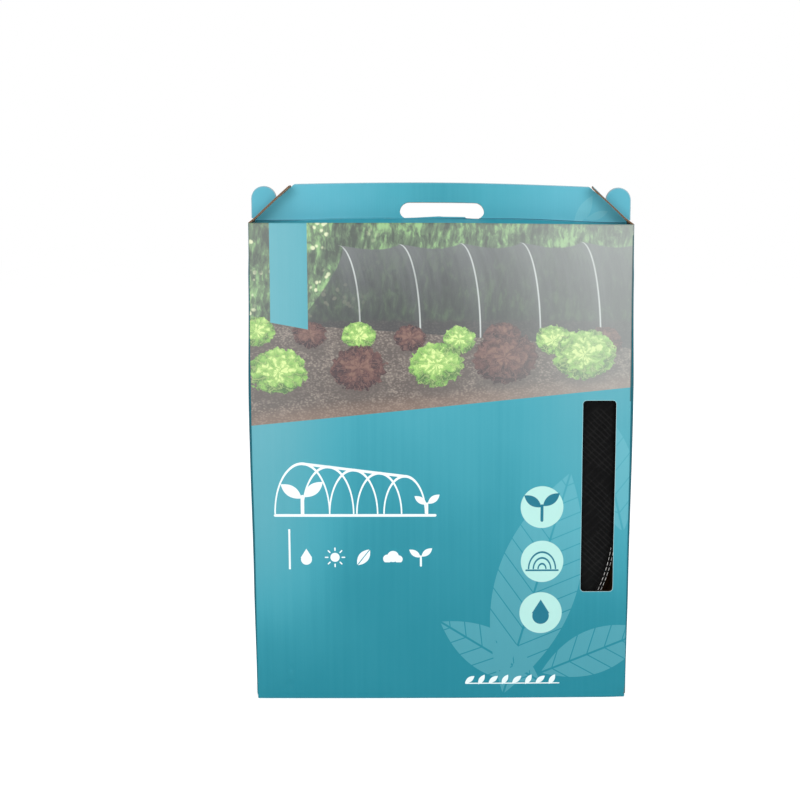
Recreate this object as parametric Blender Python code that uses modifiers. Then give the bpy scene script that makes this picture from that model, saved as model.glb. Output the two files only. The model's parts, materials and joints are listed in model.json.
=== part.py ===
"""Row cover tunnel, folded flat in its printed carry carton, as separate pieces.

The carton stands on its bottom with the print facing -Y. The tunnel stands in it
upside down: its hoops' arches are at the bottom and their bare ends point up.
All lengths are in metres. The origin is the centre of the carton's foot.
"""

import math

import bmesh
import bpy
from mathutils import Matrix

# Carton board and the gap left between pieces that touch
BOARD = 0.0018
GAP = 0.0003

# Room left round the folded tunnel, beside its sleeves and above its points
SIDE_PLAY = 0.0107
TOP_PLAY = 0.0205

# Flaps inside the carton
GLUE_FLAP_WIDTH = 0.030
GLUE_FLAP_HEADROOM = 0.012
BOTTOM_SIDE_FLAP_LENGTH = 0.060

# Window in the front wall
WINDOW_WIDTH = 0.041
WINDOW_HEIGHT = 0.245
WINDOW_RISE = 0.140
WINDOW_SIDE_MARGIN = 0.018
WINDOW_CORNER = 0.0045

# Top strips, which carry the two plies of the handle and narrow towards them
STRIP_END_PLAY = 0.0002
STRIP_TAPER = 0.002

# Handle plies with a rounded ear at each end
PLY_HEIGHT = 0.047
EAR_OUTER_INSET = 0.0007
EAR_WIDTH = 0.031
EAR_FOOT = 0.004
EAR_TOP = 0.044
HANDLE_HOLE_WIDTH = 0.1045
HANDLE_HOLE_HEIGHT = 0.0198
HANDLE_HOLE_RISE = 0.0133

# Side flaps, which lean in over the ears and let them ride up their slots as the top opens
FLAP_LEAN = math.radians(44)
FLAP_EDGE_INSET = 0.001
FLAP_TIP_MARGIN = 0.0095
FLAP_SLOT_CLEARANCE = 0.00275
EAR_RUNOUT = 0.0129

# Tunnel hoops of round wire with pointed bare ends
WIRE_RADIUS = 0.0025
HOOP_RADIUS = 0.219
HOOP_COUNT = 6
HOOP_PITCH = 0.009
COVERED_LEG = 0.235
BARE_LEG = 0.120
POINT_LENGTH = 0.012
POINT_SHARE = 0.3

# Net sewn round the hoops, folded between them and gathered at both ends
SLEEVE_CLEARANCE = 0.00035
SLEEVE_WALL = 0.00065
BAY_EDGE_ROUND = 0.0012
NET_END_DEPTH = 0.00695
NET_END_PLAY = 0.0026
END_FOLD_PITCH = 0.040
END_FOLD_DEPTH = 0.003
END_FOLD_SWAY_SHARE = 0.35

# How finely round shapes are divided
ARC_STEPS = 20
CORNER_STEPS = 5
EAR_STEPS = 12
FOLD_STEPS = 6
WIRE_SIDE_STEPS = 2
OVERRUN = 0.010

COLLECTION_NAME = "row_cover_tunnel"

# Linear colours
TEAL = (0.043, 0.319, 0.418)
PALE_TEAL = (0.117, 0.455, 0.546)
KRAFT = (0.407, 0.262, 0.156)
STEEL = (0.250, 0.255, 0.260)
NET_BLACK = (0.010, 0.010, 0.011)
HEM_BLACK = (0.018, 0.018, 0.020)


def clear_scene():
    """Remove every object that the new file holds."""
    for obj in list(bpy.data.objects):
        bpy.data.objects.remove(obj, do_unlink=True)


def new_collection(name):
    """Add an empty collection to the scene."""
    collection = bpy.data.collections.new(name)
    bpy.context.scene.collection.children.link(collection)
    return collection


def paint(obj, colour, roughness, metallic=0.0):
    """Give the object a plain Principled material of its own."""
    material = bpy.data.materials.new(obj.name + "_finish")
    material.use_nodes = True
    shader = material.node_tree.nodes["Principled BSDF"]
    shader.inputs["Base Color"].default_value = (*colour, 1.0)
    shader.inputs["Roughness"].default_value = roughness
    shader.inputs["Metallic"].default_value = metallic
    material.diffuse_color = (*colour, 1.0)
    obj.data.materials.clear()
    obj.data.materials.append(material)


def add_empty(name, location, parent, turn=0.0):
    """Add an empty that carries pieces, turned about the vertical."""
    empty = bpy.data.objects.new(name, None)
    empty.location = location
    empty.rotation_euler = (0.0, 0.0, turn)
    empty.parent = parent
    parts.objects.link(empty)
    return empty


def add_piece(name, data, parent, location=(0.0, 0.0, 0.0), rotation=(0.0, 0.0, 0.0)):
    """Add a piece to the object's collection and place it under its parent."""
    obj = bpy.data.objects.new(name, data)
    obj.location = location
    obj.rotation_euler = rotation
    obj.parent = parent
    parts.objects.link(obj)
    return obj


def add_cutter(name, mesh, parent, location=(0.0, 0.0, 0.0)):
    """Add a shape that cuts a piece and isn't one itself."""
    obj = bpy.data.objects.new(name, mesh)
    obj.location = location
    obj.parent = parent
    obj.hide_render = True
    obj.display_type = "WIRE"
    cutters.objects.link(obj)
    return obj


def cut(obj, cutter, operation="DIFFERENCE"):
    """Cut a piece with a cutter, exactly."""
    modifier = obj.modifiers.new(cutter.name, "BOOLEAN")
    modifier.object = cutter
    modifier.operation = operation
    modifier.solver = "EXACT"


def plate_mesh(name, outlines, thickness):
    """Make a flat plate in the XY plane from closed outlines; inner ones are holes."""
    curve = bpy.data.curves.new(name, "CURVE")
    curve.dimensions = "2D"
    curve.fill_mode = "BOTH"
    curve.extrude = thickness / 2
    for outline in outlines:
        spline = curve.splines.new("POLY")
        spline.points.add(len(outline) - 1)
        for point, (x, y) in zip(spline.points, outline):
            point.co = (x, y, 0.0, 1.0)
        spline.use_cyclic_u = True
    holder = bpy.data.objects.new(name, curve)
    bpy.context.scene.collection.objects.link(holder)
    evaluated = holder.evaluated_get(bpy.context.evaluated_depsgraph_get())
    mesh = bpy.data.meshes.new_from_object(evaluated)
    mesh.name = name
    bpy.data.objects.remove(holder, do_unlink=True)
    weld(mesh)
    return mesh


def weld(mesh):
    """Join a mesh's loose caps to its sides and face it outwards."""
    bm = bmesh.new()
    bm.from_mesh(mesh)
    bmesh.ops.remove_doubles(bm, verts=bm.verts, dist=GAP / 10)
    bmesh.ops.recalc_face_normals(bm, faces=bm.faces)
    bm.to_mesh(mesh)
    bm.free()


def stand_up(mesh, lift=0.0):
    """Turn a plate from the XY plane to the XZ plane and shift it along Y."""
    mesh.transform(Matrix.Translation((0.0, lift, 0.0)) @ Matrix.Rotation(math.pi / 2, 4, "X"))


def arc(centre_x, centre_y, radius, start, end, steps):
    """Points along a circular arc, both ends included."""
    turns = [start + (end - start) * step / steps for step in range(steps + 1)]
    return [(centre_x + radius * math.cos(turn), centre_y + radius * math.sin(turn)) for turn in turns]


def rounded_rectangle(width, height, radius):
    """Outline of a rectangle with round corners, centred on the origin."""
    x = width / 2 - radius
    y = height / 2 - radius
    quarter = math.pi / 2
    outline = []
    for index, (side_x, side_y) in enumerate(((x, y), (-x, y), (-x, -y), (x, -y))):
        outline += arc(side_x, side_y, radius, index * quarter, (index + 1) * quarter, CORNER_STEPS)
    return outline


def crease(turn):
    """How far a crease of this turn sets back a board's print face and its kraft face."""
    relief = GAP / (2 * math.cos(turn / 2))
    return relief, relief + BOARD * math.tan(turn / 2)


def board_mesh(name, lower, upper):
    """Make a board from z and half width of its print face and kraft face at two edges.

    The print face lies at y=0 and looks along -Y; the kraft face lies at y=BOARD.
    """
    mesh = bpy.data.meshes.new(name)
    bm = bmesh.new()
    bmesh.ops.create_cube(bm, size=1)
    for vert in bm.verts:
        print_z, kraft_z, print_half, kraft_half = upper if vert.co.z > 0 else lower
        side = math.copysign(1, vert.co.x)
        if vert.co.y > 0:
            vert.co = (side * kraft_half, BOARD, kraft_z)
        else:
            vert.co = (side * print_half, 0.0, print_z)
    bm.to_mesh(mesh)
    bm.free()
    return mesh


def wall_mesh(name, width, foot, top_turn):
    """Make a wall whose corners are mitred and whose foot and top are creased."""
    corner_print, corner_kraft = crease(math.pi / 2)
    top_print, top_kraft = crease(top_turn)
    half_print = width / 2 - corner_print
    half_kraft = width / 2 - corner_kraft
    lower = (foot + corner_print, foot + corner_kraft, half_print, half_kraft)
    upper = (WALL_HEIGHT - top_print, WALL_HEIGHT - top_kraft, half_print, half_kraft)
    return board_mesh(name, lower, upper)


def make_walls(root):
    """Four walls round the tunnel; the side and back walls stand on the flaps below them."""
    strip_turn = math.pi / 2
    flap_turn = math.pi / 2 - FLAP_LEAN
    walls = (
        ("front_panel", CARTON_WIDTH, 0.0, strip_turn, (0.0, -CARTON_DEPTH / 2, 0.0), 0.0),
        ("back_panel", CARTON_WIDTH, BACK_FOOT, strip_turn, (0.0, CARTON_DEPTH / 2, 0.0), math.pi),
        ("left_side_panel", CARTON_DEPTH, SIDE_FOOT, flap_turn,
         (-CARTON_WIDTH / 2, 0.0, 0.0), -math.pi / 2),
        ("right_side_panel", CARTON_DEPTH, SIDE_FOOT, flap_turn,
         (CARTON_WIDTH / 2, 0.0, 0.0), math.pi / 2),
    )
    made = {}
    for name, width, foot, top_turn, location, turn in walls:
        mesh = wall_mesh(name, width, foot, top_turn)
        made[name] = add_piece(name, mesh, root, location, (0.0, 0.0, turn))
        paint(made[name], TEAL, 0.42)
    cut_window(made["front_panel"], root)


def cut_window(front_panel, root):
    """Cut the tall round-cornered window through which the net shows."""
    mesh = plate_mesh("window_cutter", [rounded_rectangle(WINDOW_WIDTH, WINDOW_HEIGHT, WINDOW_CORNER)],
                      BOARD + 2 * OVERRUN)
    stand_up(mesh)
    centre_x = CARTON_WIDTH / 2 - WINDOW_SIDE_MARGIN - WINDOW_WIDTH / 2
    centre_z = WINDOW_RISE + WINDOW_HEIGHT / 2
    cut(front_panel, add_cutter("window_cutter", mesh, root, (centre_x, -CARTON_DEPTH / 2, centre_z)))


def make_glue_flap(root):
    """Flap that the back wall glues to the inside of the left wall."""
    inside = BOARD + GAP
    foot = INSIDE_FLOOR + GAP
    top = WALL_HEIGHT - GLUE_FLAP_HEADROOM
    back_edge = CARTON_DEPTH / 2 - inside
    half = GLUE_FLAP_WIDTH / 2
    mesh = board_mesh("glue_flap", (foot, foot, half, half), (top, top, half, half))
    location = (-CARTON_WIDTH / 2 + inside, back_edge - half, 0.0)
    paint(add_piece("glue_flap", mesh, root, location, (0.0, 0.0, -math.pi / 2)), KRAFT, 0.85)


def bottom_flap_mesh(name, width, length):
    """Make a flap that hangs from its crease at z=0, before it is folded in."""
    crease_print, crease_kraft = crease(math.pi / 2)
    half = width / 2
    return board_mesh(name, (-length, -length, half, half), (-crease_print, -crease_kraft, half, half))


def make_bottom_flaps(root):
    """Four glued flaps in three layers: front below, back on it and both side flaps on top."""
    across = CARTON_WIDTH - 2 * FLAP_EDGE_INSET
    between = CARTON_DEPTH - 2 * (BOARD + GAP)
    full = CARTON_DEPTH - FLAP_EDGE_INSET
    short = CARTON_DEPTH - BOARD - GAP
    flaps = (
        ("bottom_front_flap", across, full, (0.0, -CARTON_DEPTH / 2, 0.0), 0.0),
        ("bottom_back_flap", across, short, (0.0, CARTON_DEPTH / 2, BACK_FOOT), math.pi),
        ("bottom_left_flap", between, BOTTOM_SIDE_FLAP_LENGTH,
         (-CARTON_WIDTH / 2, 0.0, SIDE_FOOT), -math.pi / 2),
        ("bottom_right_flap", between, BOTTOM_SIDE_FLAP_LENGTH,
         (CARTON_WIDTH / 2, 0.0, SIDE_FOOT), math.pi / 2),
    )
    for name, width, length, location, turn in flaps:
        mesh = bottom_flap_mesh(name, width, length)
        piece = add_piece(name, mesh, root, location, (math.pi / 2, 0.0, turn))
        paint(piece, KRAFT, 0.85)


def strip_mesh(name):
    """Make half of the carton's top, from the wall's crease to the foot of its handle ply."""
    outer_print, outer_kraft = crease(math.pi / 2)
    inner_print = CARTON_DEPTH / 2 - GAP / 2 - BOARD - outer_print
    inner_kraft = inner_print + BOARD
    outer_half = CARTON_WIDTH / 2 - beyond_flap() - STRIP_END_PLAY
    inner_half = outer_half - STRIP_TAPER
    lower = (outer_print, outer_kraft, outer_half, outer_half)
    upper = (inner_print, inner_kraft, inner_half, inner_half)
    return board_mesh(name, lower, upper)


def beyond_flap(rise=0.0):
    """How far in from the carton's corner the flap and its gap end, at a height above the crease."""
    return (BOARD + GAP + rise * math.cos(FLAP_LEAN)) / math.sin(FLAP_LEAN)


def ply_outline():
    """Outline of a handle ply, with x from the middle and y up from the top crease."""
    crease_print, _ = crease(math.pi / 2)
    foot = crease_print - BOARD
    slope = math.tan(FLAP_LEAN)
    corner_inset = beyond_flap() + STRIP_END_PLAY + STRIP_TAPER
    corner_rise = (corner_inset - beyond_flap()) * slope
    ear_radius = EAR_WIDTH / 2
    ear_inner = EAR_OUTER_INSET + EAR_WIDTH
    notch = ear_inner * slope
    inward = [(corner_inset, foot), (corner_inset, corner_rise),
              (beyond_flap(EAR_FOOT), EAR_FOOT), (EAR_OUTER_INSET, EAR_FOOT)]
    inward += arc(EAR_OUTER_INSET + ear_radius, EAR_TOP - ear_radius, ear_radius, math.pi, 0.0, EAR_STEPS)
    inward += [(ear_inner, notch), (beyond_flap(notch), notch), (beyond_flap(PLY_HEIGHT), PLY_HEIGHT)]
    right = [(CARTON_WIDTH / 2 - x, y) for x, y in inward]
    left = [(-x, y) for x, y in reversed(right)]
    return right + left, foot


def handle_hole():
    """Outline of the hand hole, with round ends."""
    straight = (HANDLE_HOLE_WIDTH - HANDLE_HOLE_HEIGHT) / 2
    radius = HANDLE_HOLE_HEIGHT / 2
    quarter = math.pi / 2
    right = arc(straight, HANDLE_HOLE_RISE, radius, -quarter, quarter, EAR_STEPS)
    left = arc(-straight, HANDLE_HOLE_RISE, radius, quarter, 3 * quarter, EAR_STEPS)
    return right + left


def ply_mesh(name):
    """Make a handle ply with its kraft face at y=0 and its foot mitred against the strip.

    Its origin is the kraft corner of the crease, BOARD below the print corner.
    """
    outline, foot = ply_outline()
    mesh = plate_mesh(name, [outline, handle_hole()], BOARD)
    stand_up(mesh, -BOARD / 2)
    for vert in mesh.vertices:
        if vert.co.y < -BOARD / 2 and vert.co.z < foot + GAP:
            vert.co.z += BOARD
        vert.co.z += BOARD
    return mesh


def make_top(root):
    """Two strips that meet in the middle, each with its upright ply of the handle."""
    for side, sign, turn in (("front", -1, 0.0), ("back", 1, math.pi)):
        edge = (0.0, sign * CARTON_DEPTH / 2, WALL_HEIGHT)
        lid_hinge = add_empty(f"lid_{side}_hinge", edge, root, turn)
        strip = add_piece(f"top_{side}_strip", strip_mesh(f"top_{side}_strip"), lid_hinge,
                          rotation=(-math.pi / 2, 0.0, 0.0))
        paint(strip, TEAL, 0.42)
        inner_edge = (0.0, CARTON_DEPTH / 2 - GAP / 2, -BOARD)
        ply_hinge = add_empty(f"handle_{side}_hinge", inner_edge, lid_hinge)
        ply = add_piece(f"handle_{side}", ply_mesh(f"handle_{side}"), ply_hinge)
        paint(ply, PALE_TEAL, 0.42)


def flap_mesh(name, turn):
    """Make a side flap that stands on its crease at z=0."""
    crease_print, crease_kraft = crease(turn)
    half = CARTON_DEPTH / 2 - FLAP_EDGE_INSET
    lower = (crease_print, crease_kraft, half, half)
    return board_mesh(name, lower, (FLAP_LENGTH, FLAP_LENGTH, half, half))


def slot_mesh(name):
    """Make the cutter of the slot that takes the ears of both plies."""
    width = 2 * (BOARD + GAP / 2 + FLAP_SLOT_CLEARANCE)
    mesh = bpy.data.meshes.new(name)
    bm = bmesh.new()
    bmesh.ops.create_cube(bm, size=1)
    length = FLAP_SLOT_END - FLAP_SLOT_START
    bmesh.ops.scale(bm, vec=(width, BOARD + 2 * OVERRUN, length), verts=bm.verts)
    bm.to_mesh(mesh)
    bm.free()
    return mesh


def make_side_flaps(root):
    """A flap on each side wall, leaning in with its slot over the ears."""
    turn = math.pi / 2 - FLAP_LEAN
    slot_middle = (0.0, 0.0, (FLAP_SLOT_START + FLAP_SLOT_END) / 2)
    for side, sign in (("left", -1), ("right", 1)):
        edge = (sign * CARTON_WIDTH / 2, 0.0, WALL_HEIGHT)
        hinge = add_empty(f"{side}_flap_hinge", edge, root, sign * math.pi / 2)
        name = f"{side}_side_flap"
        flap = add_piece(name, flap_mesh(name, turn), hinge, rotation=(-turn, 0.0, 0.0))
        slot_name = f"{side}_slot_cutter"
        cut(flap, add_cutter(slot_name, slot_mesh(slot_name), flap, slot_middle))
        paint(flap, KRAFT, 0.8)


def hoop_arch():
    """Points of a hoop's lower arch in the XZ plane, from the left leg to the right one."""
    return arc(0.0, HOOP_CENTRE_Z, HOOP_RADIUS, math.pi, 2 * math.pi, ARC_STEPS)


def tube_curve(name, points, radius, thinner_ends=False, filled=True):
    """Make a round tube along points in the XZ plane."""
    curve = bpy.data.curves.new(name, "CURVE")
    curve.dimensions = "3D"
    curve.bevel_depth = radius
    curve.bevel_resolution = WIRE_SIDE_STEPS
    curve.use_fill_caps = filled
    spline = curve.splines.new("POLY")
    spline.points.add(len(points) - 1)
    for point, (x, z) in zip(spline.points, points):
        point.co = (x, 0.0, z, 1.0)
    if thinner_ends:
        spline.points[0].radius = POINT_SHARE
        spline.points[-1].radius = POINT_SHARE
    return curve


def hoop_places():
    """Depth of each hoop, front to back."""
    middle = (HOOP_COUNT - 1) / 2
    return [(index - middle) * HOOP_PITCH for index in range(HOOP_COUNT)]


def make_hoops(root):
    """Wire hoops with long straight legs that end in points."""
    neck = NET_TOP + BARE_LEG - POINT_LENGTH
    tip = NET_TOP + BARE_LEG
    left = [(-HOOP_RADIUS, tip), (-HOOP_RADIUS, neck)]
    right = [(HOOP_RADIUS, neck), (HOOP_RADIUS, tip)]
    for number, place in enumerate(hoop_places(), start=1):
        name = f"hoop_{number}"
        curve = tube_curve(name, left + hoop_arch() + right, WIRE_RADIUS, thinner_ends=True)
        paint(add_piece(name, curve, root, (0.0, place, 0.0)), STEEL, 0.35, 1.0)


def sleeve_mesh(name):
    """Make the open tube of net that is sewn round a hoop."""
    left = [(-HOOP_RADIUS, NET_TOP)]
    right = [(HOOP_RADIUS, NET_TOP)]
    bore = WIRE_RADIUS + SLEEVE_CLEARANCE
    curve = tube_curve(name, left + hoop_arch() + right, bore, filled=False)
    holder = bpy.data.objects.new(name, curve)
    bpy.context.scene.collection.objects.link(holder)
    evaluated = holder.evaluated_get(bpy.context.evaluated_depsgraph_get())
    mesh = bpy.data.meshes.new_from_object(evaluated)
    mesh.name = name
    bpy.data.objects.remove(holder, do_unlink=True)
    weld(mesh)
    mesh.shade_smooth()
    return mesh


def make_sleeves(root):
    """A sleeve of net on each hoop, up to where the bare ends begin."""
    for number, place in enumerate(hoop_places(), start=1):
        name = f"hoop_sleeve_{number}"
        sleeve = add_piece(name, sleeve_mesh(name), root, (0.0, place, 0.0))
        wall = sleeve.modifiers.new("wall", "SOLIDIFY")
        wall.thickness = SLEEVE_WALL
        wall.offset = 1.0
        paint(sleeve, HEM_BLACK, 0.9)


def net_outline():
    """Outline of the net folded inside the hoops: a half circle below straight sides."""
    radius = HOOP_RADIUS - SLEEVE_RADIUS - GAP
    arch = arc(0.0, HOOP_CENTRE_Z, radius, math.pi, 2 * math.pi, ARC_STEPS)
    return arch + [(radius, NET_TOP), (-radius, NET_TOP)]


def make_bays(root):
    """The net between each two hoops, folded flat inside them."""
    places = hoop_places()
    for number, (near, far) in enumerate(zip(places, places[1:]), start=1):
        name = f"net_bay_{number}"
        mesh = plate_mesh(name, [net_outline()], HOOP_PITCH - GAP)
        stand_up(mesh)
        bay = add_piece(name, mesh, root, (0.0, (near + far) / 2, 0.0))
        soft_edge = bay.modifiers.new("soft_edge", "BEVEL")
        soft_edge.width = BAY_EDGE_ROUND
        soft_edge.segments = 2
        paint(bay, NET_BLACK, 0.95)


def end_fold_outline():
    """Plan of a gathered net end: flat behind, with upright folds in front."""
    half = HOOP_RADIUS - SLEEVE_RADIUS + OVERRUN
    crest = CARTON_DEPTH / 2 - BOARD - NET_END_PLAY
    behind = hoop_places()[-1] + GAP / 2
    count = math.ceil(2 * half / END_FOLD_PITCH) * FOLD_STEPS
    outline = [(half, -behind), (-half, -behind)]
    for step in range(count + 1):
        x = -half + 2 * half * step / count
        turn = 2 * math.pi * x / END_FOLD_PITCH
        sway = END_FOLD_SWAY_SHARE * math.sin(turn / math.pi)
        depth = END_FOLD_DEPTH * (1 - math.cos(turn + 2 * math.pi * sway)) / 2
        outline.append((x, depth - crest))
    return outline


def make_net_ends(root):
    """The net past the first and the last hoop, gathered in upright folds."""
    for side, turn in (("front", 0.0), ("back", math.pi)):
        height = NET_TOP - INSIDE_FLOOR
        name = f"net_end_{side}"
        mesh = plate_mesh(name, [end_fold_outline()], height)
        net_end = add_piece(name, mesh, root, (0.0, 0.0, INSIDE_FLOOR + height / 2), (0.0, 0.0, turn))
        shape = plate_mesh(name + "_shape", [net_outline()], CARTON_DEPTH)
        stand_up(shape)
        cut(net_end, add_cutter(name + "_shape", shape, root), "INTERSECT")
        paint(net_end, NET_BLACK, 0.95)


# Heights of the carton's bottom layers, of the tunnel on them and of the walls round it
BACK_FOOT = BOARD + GAP
SIDE_FOOT = BACK_FOOT + BOARD + GAP
INSIDE_FLOOR = SIDE_FOOT + BOARD
SLEEVE_RADIUS = WIRE_RADIUS + SLEEVE_CLEARANCE + SLEEVE_WALL
HOOP_CENTRE_Z = BACK_FOOT + BOARD + GAP + SLEEVE_RADIUS + HOOP_RADIUS
NET_TOP = HOOP_CENTRE_Z + COVERED_LEG
WALL_HEIGHT = NET_TOP + BARE_LEG + TOP_PLAY + BOARD
CARTON_WIDTH = 2 * (HOOP_RADIUS + SLEEVE_RADIUS + SIDE_PLAY + BOARD)
CARTON_DEPTH = (HOOP_COUNT - 1) * HOOP_PITCH + GAP + 2 * (NET_END_DEPTH + NET_END_PLAY + BOARD)

# Places along a side flap, from its crease
FLAP_SLOT_START = EAR_FOOT
FLAP_SLOT_END = (EAR_OUTER_INSET + EAR_WIDTH) / math.cos(FLAP_LEAN) + EAR_RUNOUT
FLAP_LENGTH = FLAP_SLOT_END + FLAP_TIP_MARGIN

clear_scene()
parts = new_collection(COLLECTION_NAME)
cutters = new_collection("cutters")
carton = add_empty("carton", (0.0, 0.0, 0.0), None)
make_walls(carton)
make_glue_flap(carton)
make_bottom_flaps(carton)
make_top(carton)
make_side_flaps(carton)
make_hoops(carton)
make_sleeves(carton)
make_bays(carton)
make_net_ends(carton)
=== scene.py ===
"""Looks of a row cover tunnel, folded flat in its printed carry carton.

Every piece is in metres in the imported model's frame: the print faces -Y, and the carton stands on z=0.
"""

import json
import math
import random
from functools import partial, reduce

import bmesh
import bpy
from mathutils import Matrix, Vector


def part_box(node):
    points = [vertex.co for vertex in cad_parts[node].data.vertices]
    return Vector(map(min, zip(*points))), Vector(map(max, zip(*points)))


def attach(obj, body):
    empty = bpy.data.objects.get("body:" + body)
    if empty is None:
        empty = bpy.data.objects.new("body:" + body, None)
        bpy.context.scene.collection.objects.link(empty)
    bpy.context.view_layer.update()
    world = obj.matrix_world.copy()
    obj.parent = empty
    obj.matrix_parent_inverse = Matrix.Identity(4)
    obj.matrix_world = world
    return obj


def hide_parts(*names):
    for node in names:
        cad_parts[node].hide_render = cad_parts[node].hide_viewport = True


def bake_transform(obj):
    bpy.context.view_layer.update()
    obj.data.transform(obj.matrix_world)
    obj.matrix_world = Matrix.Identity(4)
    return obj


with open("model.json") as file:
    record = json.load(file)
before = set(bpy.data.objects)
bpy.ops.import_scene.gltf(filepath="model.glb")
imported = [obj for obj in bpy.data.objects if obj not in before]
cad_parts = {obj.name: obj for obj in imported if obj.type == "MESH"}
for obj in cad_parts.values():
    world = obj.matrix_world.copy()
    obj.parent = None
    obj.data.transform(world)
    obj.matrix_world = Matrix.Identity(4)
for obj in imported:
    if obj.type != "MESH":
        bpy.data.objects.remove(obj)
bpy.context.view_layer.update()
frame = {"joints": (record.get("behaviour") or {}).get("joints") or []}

# Carton, from the frame
UP = Vector((0, 0, 1))
hinges = {joint["name"]: Vector(joint["pos_m"]) for joint in frame["joints"]}
HALF_WIDTH = -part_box("left_side_panel")[0].x
HALF_DEPTH = -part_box("front_panel")[0].y
TOP = hinges["lid_front"].z
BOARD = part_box("front_panel")[1].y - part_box("front_panel")[0].y
GAP = 0.0003
INNER_DEPTH = HALF_DEPTH - BOARD - GAP
BACK_FOOT = BOARD + GAP
SIDE_FOOT = 2 * BACK_FOOT

# Each wall's directions along and outward, half width, distance from the middle and foot
WALLS = {
    "front": (Vector((1, 0, 0)), Vector((0, -1, 0)), HALF_WIDTH, HALF_DEPTH, 0.0),
    "right": (Vector((0, 1, 0)), Vector((1, 0, 0)), HALF_DEPTH, HALF_WIDTH, SIDE_FOOT),
    "back": (Vector((-1, 0, 0)), Vector((0, 1, 0)), HALF_WIDTH, HALF_DEPTH, BACK_FOOT),
    "left": (Vector((0, -1, 0)), Vector((-1, 0, 0)), HALF_DEPTH, HALF_WIDTH, SIDE_FOOT),
}

# Scored creases
CREASE_RADIUS = 0.0020
VALLEY_RADIUS = 0.0004
VALLEY = GAP / 2 + BOARD + VALLEY_RADIUS
CREASE_ARC = CREASE_RADIUS * math.pi / 2
VALLEY_ARC = VALLEY_RADIUS * math.pi / 2
STRIP_RUN = HALF_DEPTH - CREASE_RADIUS - VALLEY
CREASE_CUTS = 4

# Pitches of the boards' grids
GRID = 0.008
STRIP_BEND_PITCH = 0.001
STRIP_PITCH = 0.005
PLY_PITCH = 0.004
FLAP_PITCH = 0.006

# Walls and bottom flaps
CORNER_NOTCH = 0.0032
NOTCH_DROP = 0.0002
FLAP_PLAY = 0.001
FLAP_CHAMFER = 0.004
SIDE_FOOT_FLAP = 0.060
BOTTOM_SPRING = 0.06
GLUE_FLAP_END = -0.0019
GLUE_FLAP_LIFT = 0.0002
GLUE_FLAP_SLANT = 0.006

# How the real carton has sprung out of true
SIDE_BULGE = ((0.0, 0.0030), (0.14, 0.0050), (0.37, 0.0072), (0.53, 0.0040), (TOP - 0.004, 0.0))
FRONT_BULGE = 0.0019
FRONT_BULGE_FADE = (0.25, TOP - 0.03)
SETTLE = 0.0021
SETTLE_FROM_X = -0.02
SETTLE_FROM_Z = 0.40
CORNER_BOW = {"left": 0.0014, "right": 0.0007}
BOW_RISE = (0.18, 0.32)
BOW_FALL = (0.42, 0.56)
BOW_FROM_X = 0.17
STRIP_LIFT = ((-0.235, 0.0008), (-0.18, 0.0013), (-0.12, 0.0036), (-0.07, 0.0040), (-0.045, 0.0035),
              (0.045, 0.0034), (0.09, 0.0038), (0.225, 0.0))
HANDLE_CROWN = 0.0026
HANDLE_CROWN_REACH = 0.183
HANDLE_DROP = 0.0014
HANDLE_TILT = 0.0044
HANDLE_LOWEST = -0.0035
LIFT_FADE = 0.014

# Dents in the front near its lower left corner, as place, size and depth, and the crushed right corner
DENTS = ((-0.1905, 0.040, 0.0030, 0.0010), (-0.1920, 0.019, 0.0034, 0.0010), (-0.2215, 0.030, 0.0060, 0.0007))
DENT_GRID = 0.0015
DENT_SQUASH = 0.6
CRUSH = 0.0018
CRUSH_REACH = 0.020
CRUSH_RIDGE = 0.006

# Window
WINDOW_CORNER = 0.0045
WINDOW_LOW = Vector((0.1757, 0.1405))
WINDOW_HIGH = Vector((0.2165, 0.385))

# Handle plies and side flaps, as in the part's source
FLAP_LEAN = math.radians(44)
STRIP_END_PLAY = 0.0002
STRIP_TAPER = 0.002
STRIP_FINE_RUN = 0.006
EAR_OUTER_INSET = 0.0007
EAR_WIDTH = 0.031
EAR_FOOT = 0.004
EAR_TOP = 0.044
PLY_CORNER = 0.0015
HOLE_WIDTH = 0.1039
HOLE_HEIGHT = 0.0231
HOLE_RISE = 0.01145
HOLE_MIDDLE = 0.0009
HOLE_BACK_DROP = 0.0006
HOLE_ENDS = {"front": (-68, 238), "back": (-58, 240)}
HOLE_FOOT = ((-0.0324, 0.0021), (-0.0023, 0.0040), (0.0023, 0.0035), (0.0292, 0.0033), (0.0308, 0.0016))
SLOT_HALF_WIDTH = BOARD + GAP / 2 + 0.00275
SLOT_END_MARGIN = 0.0095
PLY_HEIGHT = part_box("handle_front")[1].z - TOP
FLAP_TURN = math.pi / 2 - FLAP_LEAN
FLAP_CREASE = CREASE_RADIUS * math.tan(FLAP_TURN / 2)
FLAP_ARC = CREASE_RADIUS * FLAP_TURN / 2
FLAP_LENGTH = (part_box("left_side_flap")[1].z - TOP) / math.sin(FLAP_LEAN)
FLAP_SAG = {"left": (0.0016, 0.0016), "right": (0.0020, -0.0014)}
FLAP_DROOP = {"left": 0.0010, "right": 0.0019}
FLAP_DROOP_RUN = 0.012
FLAP_TIP_SLANT = 0.0042

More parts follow.
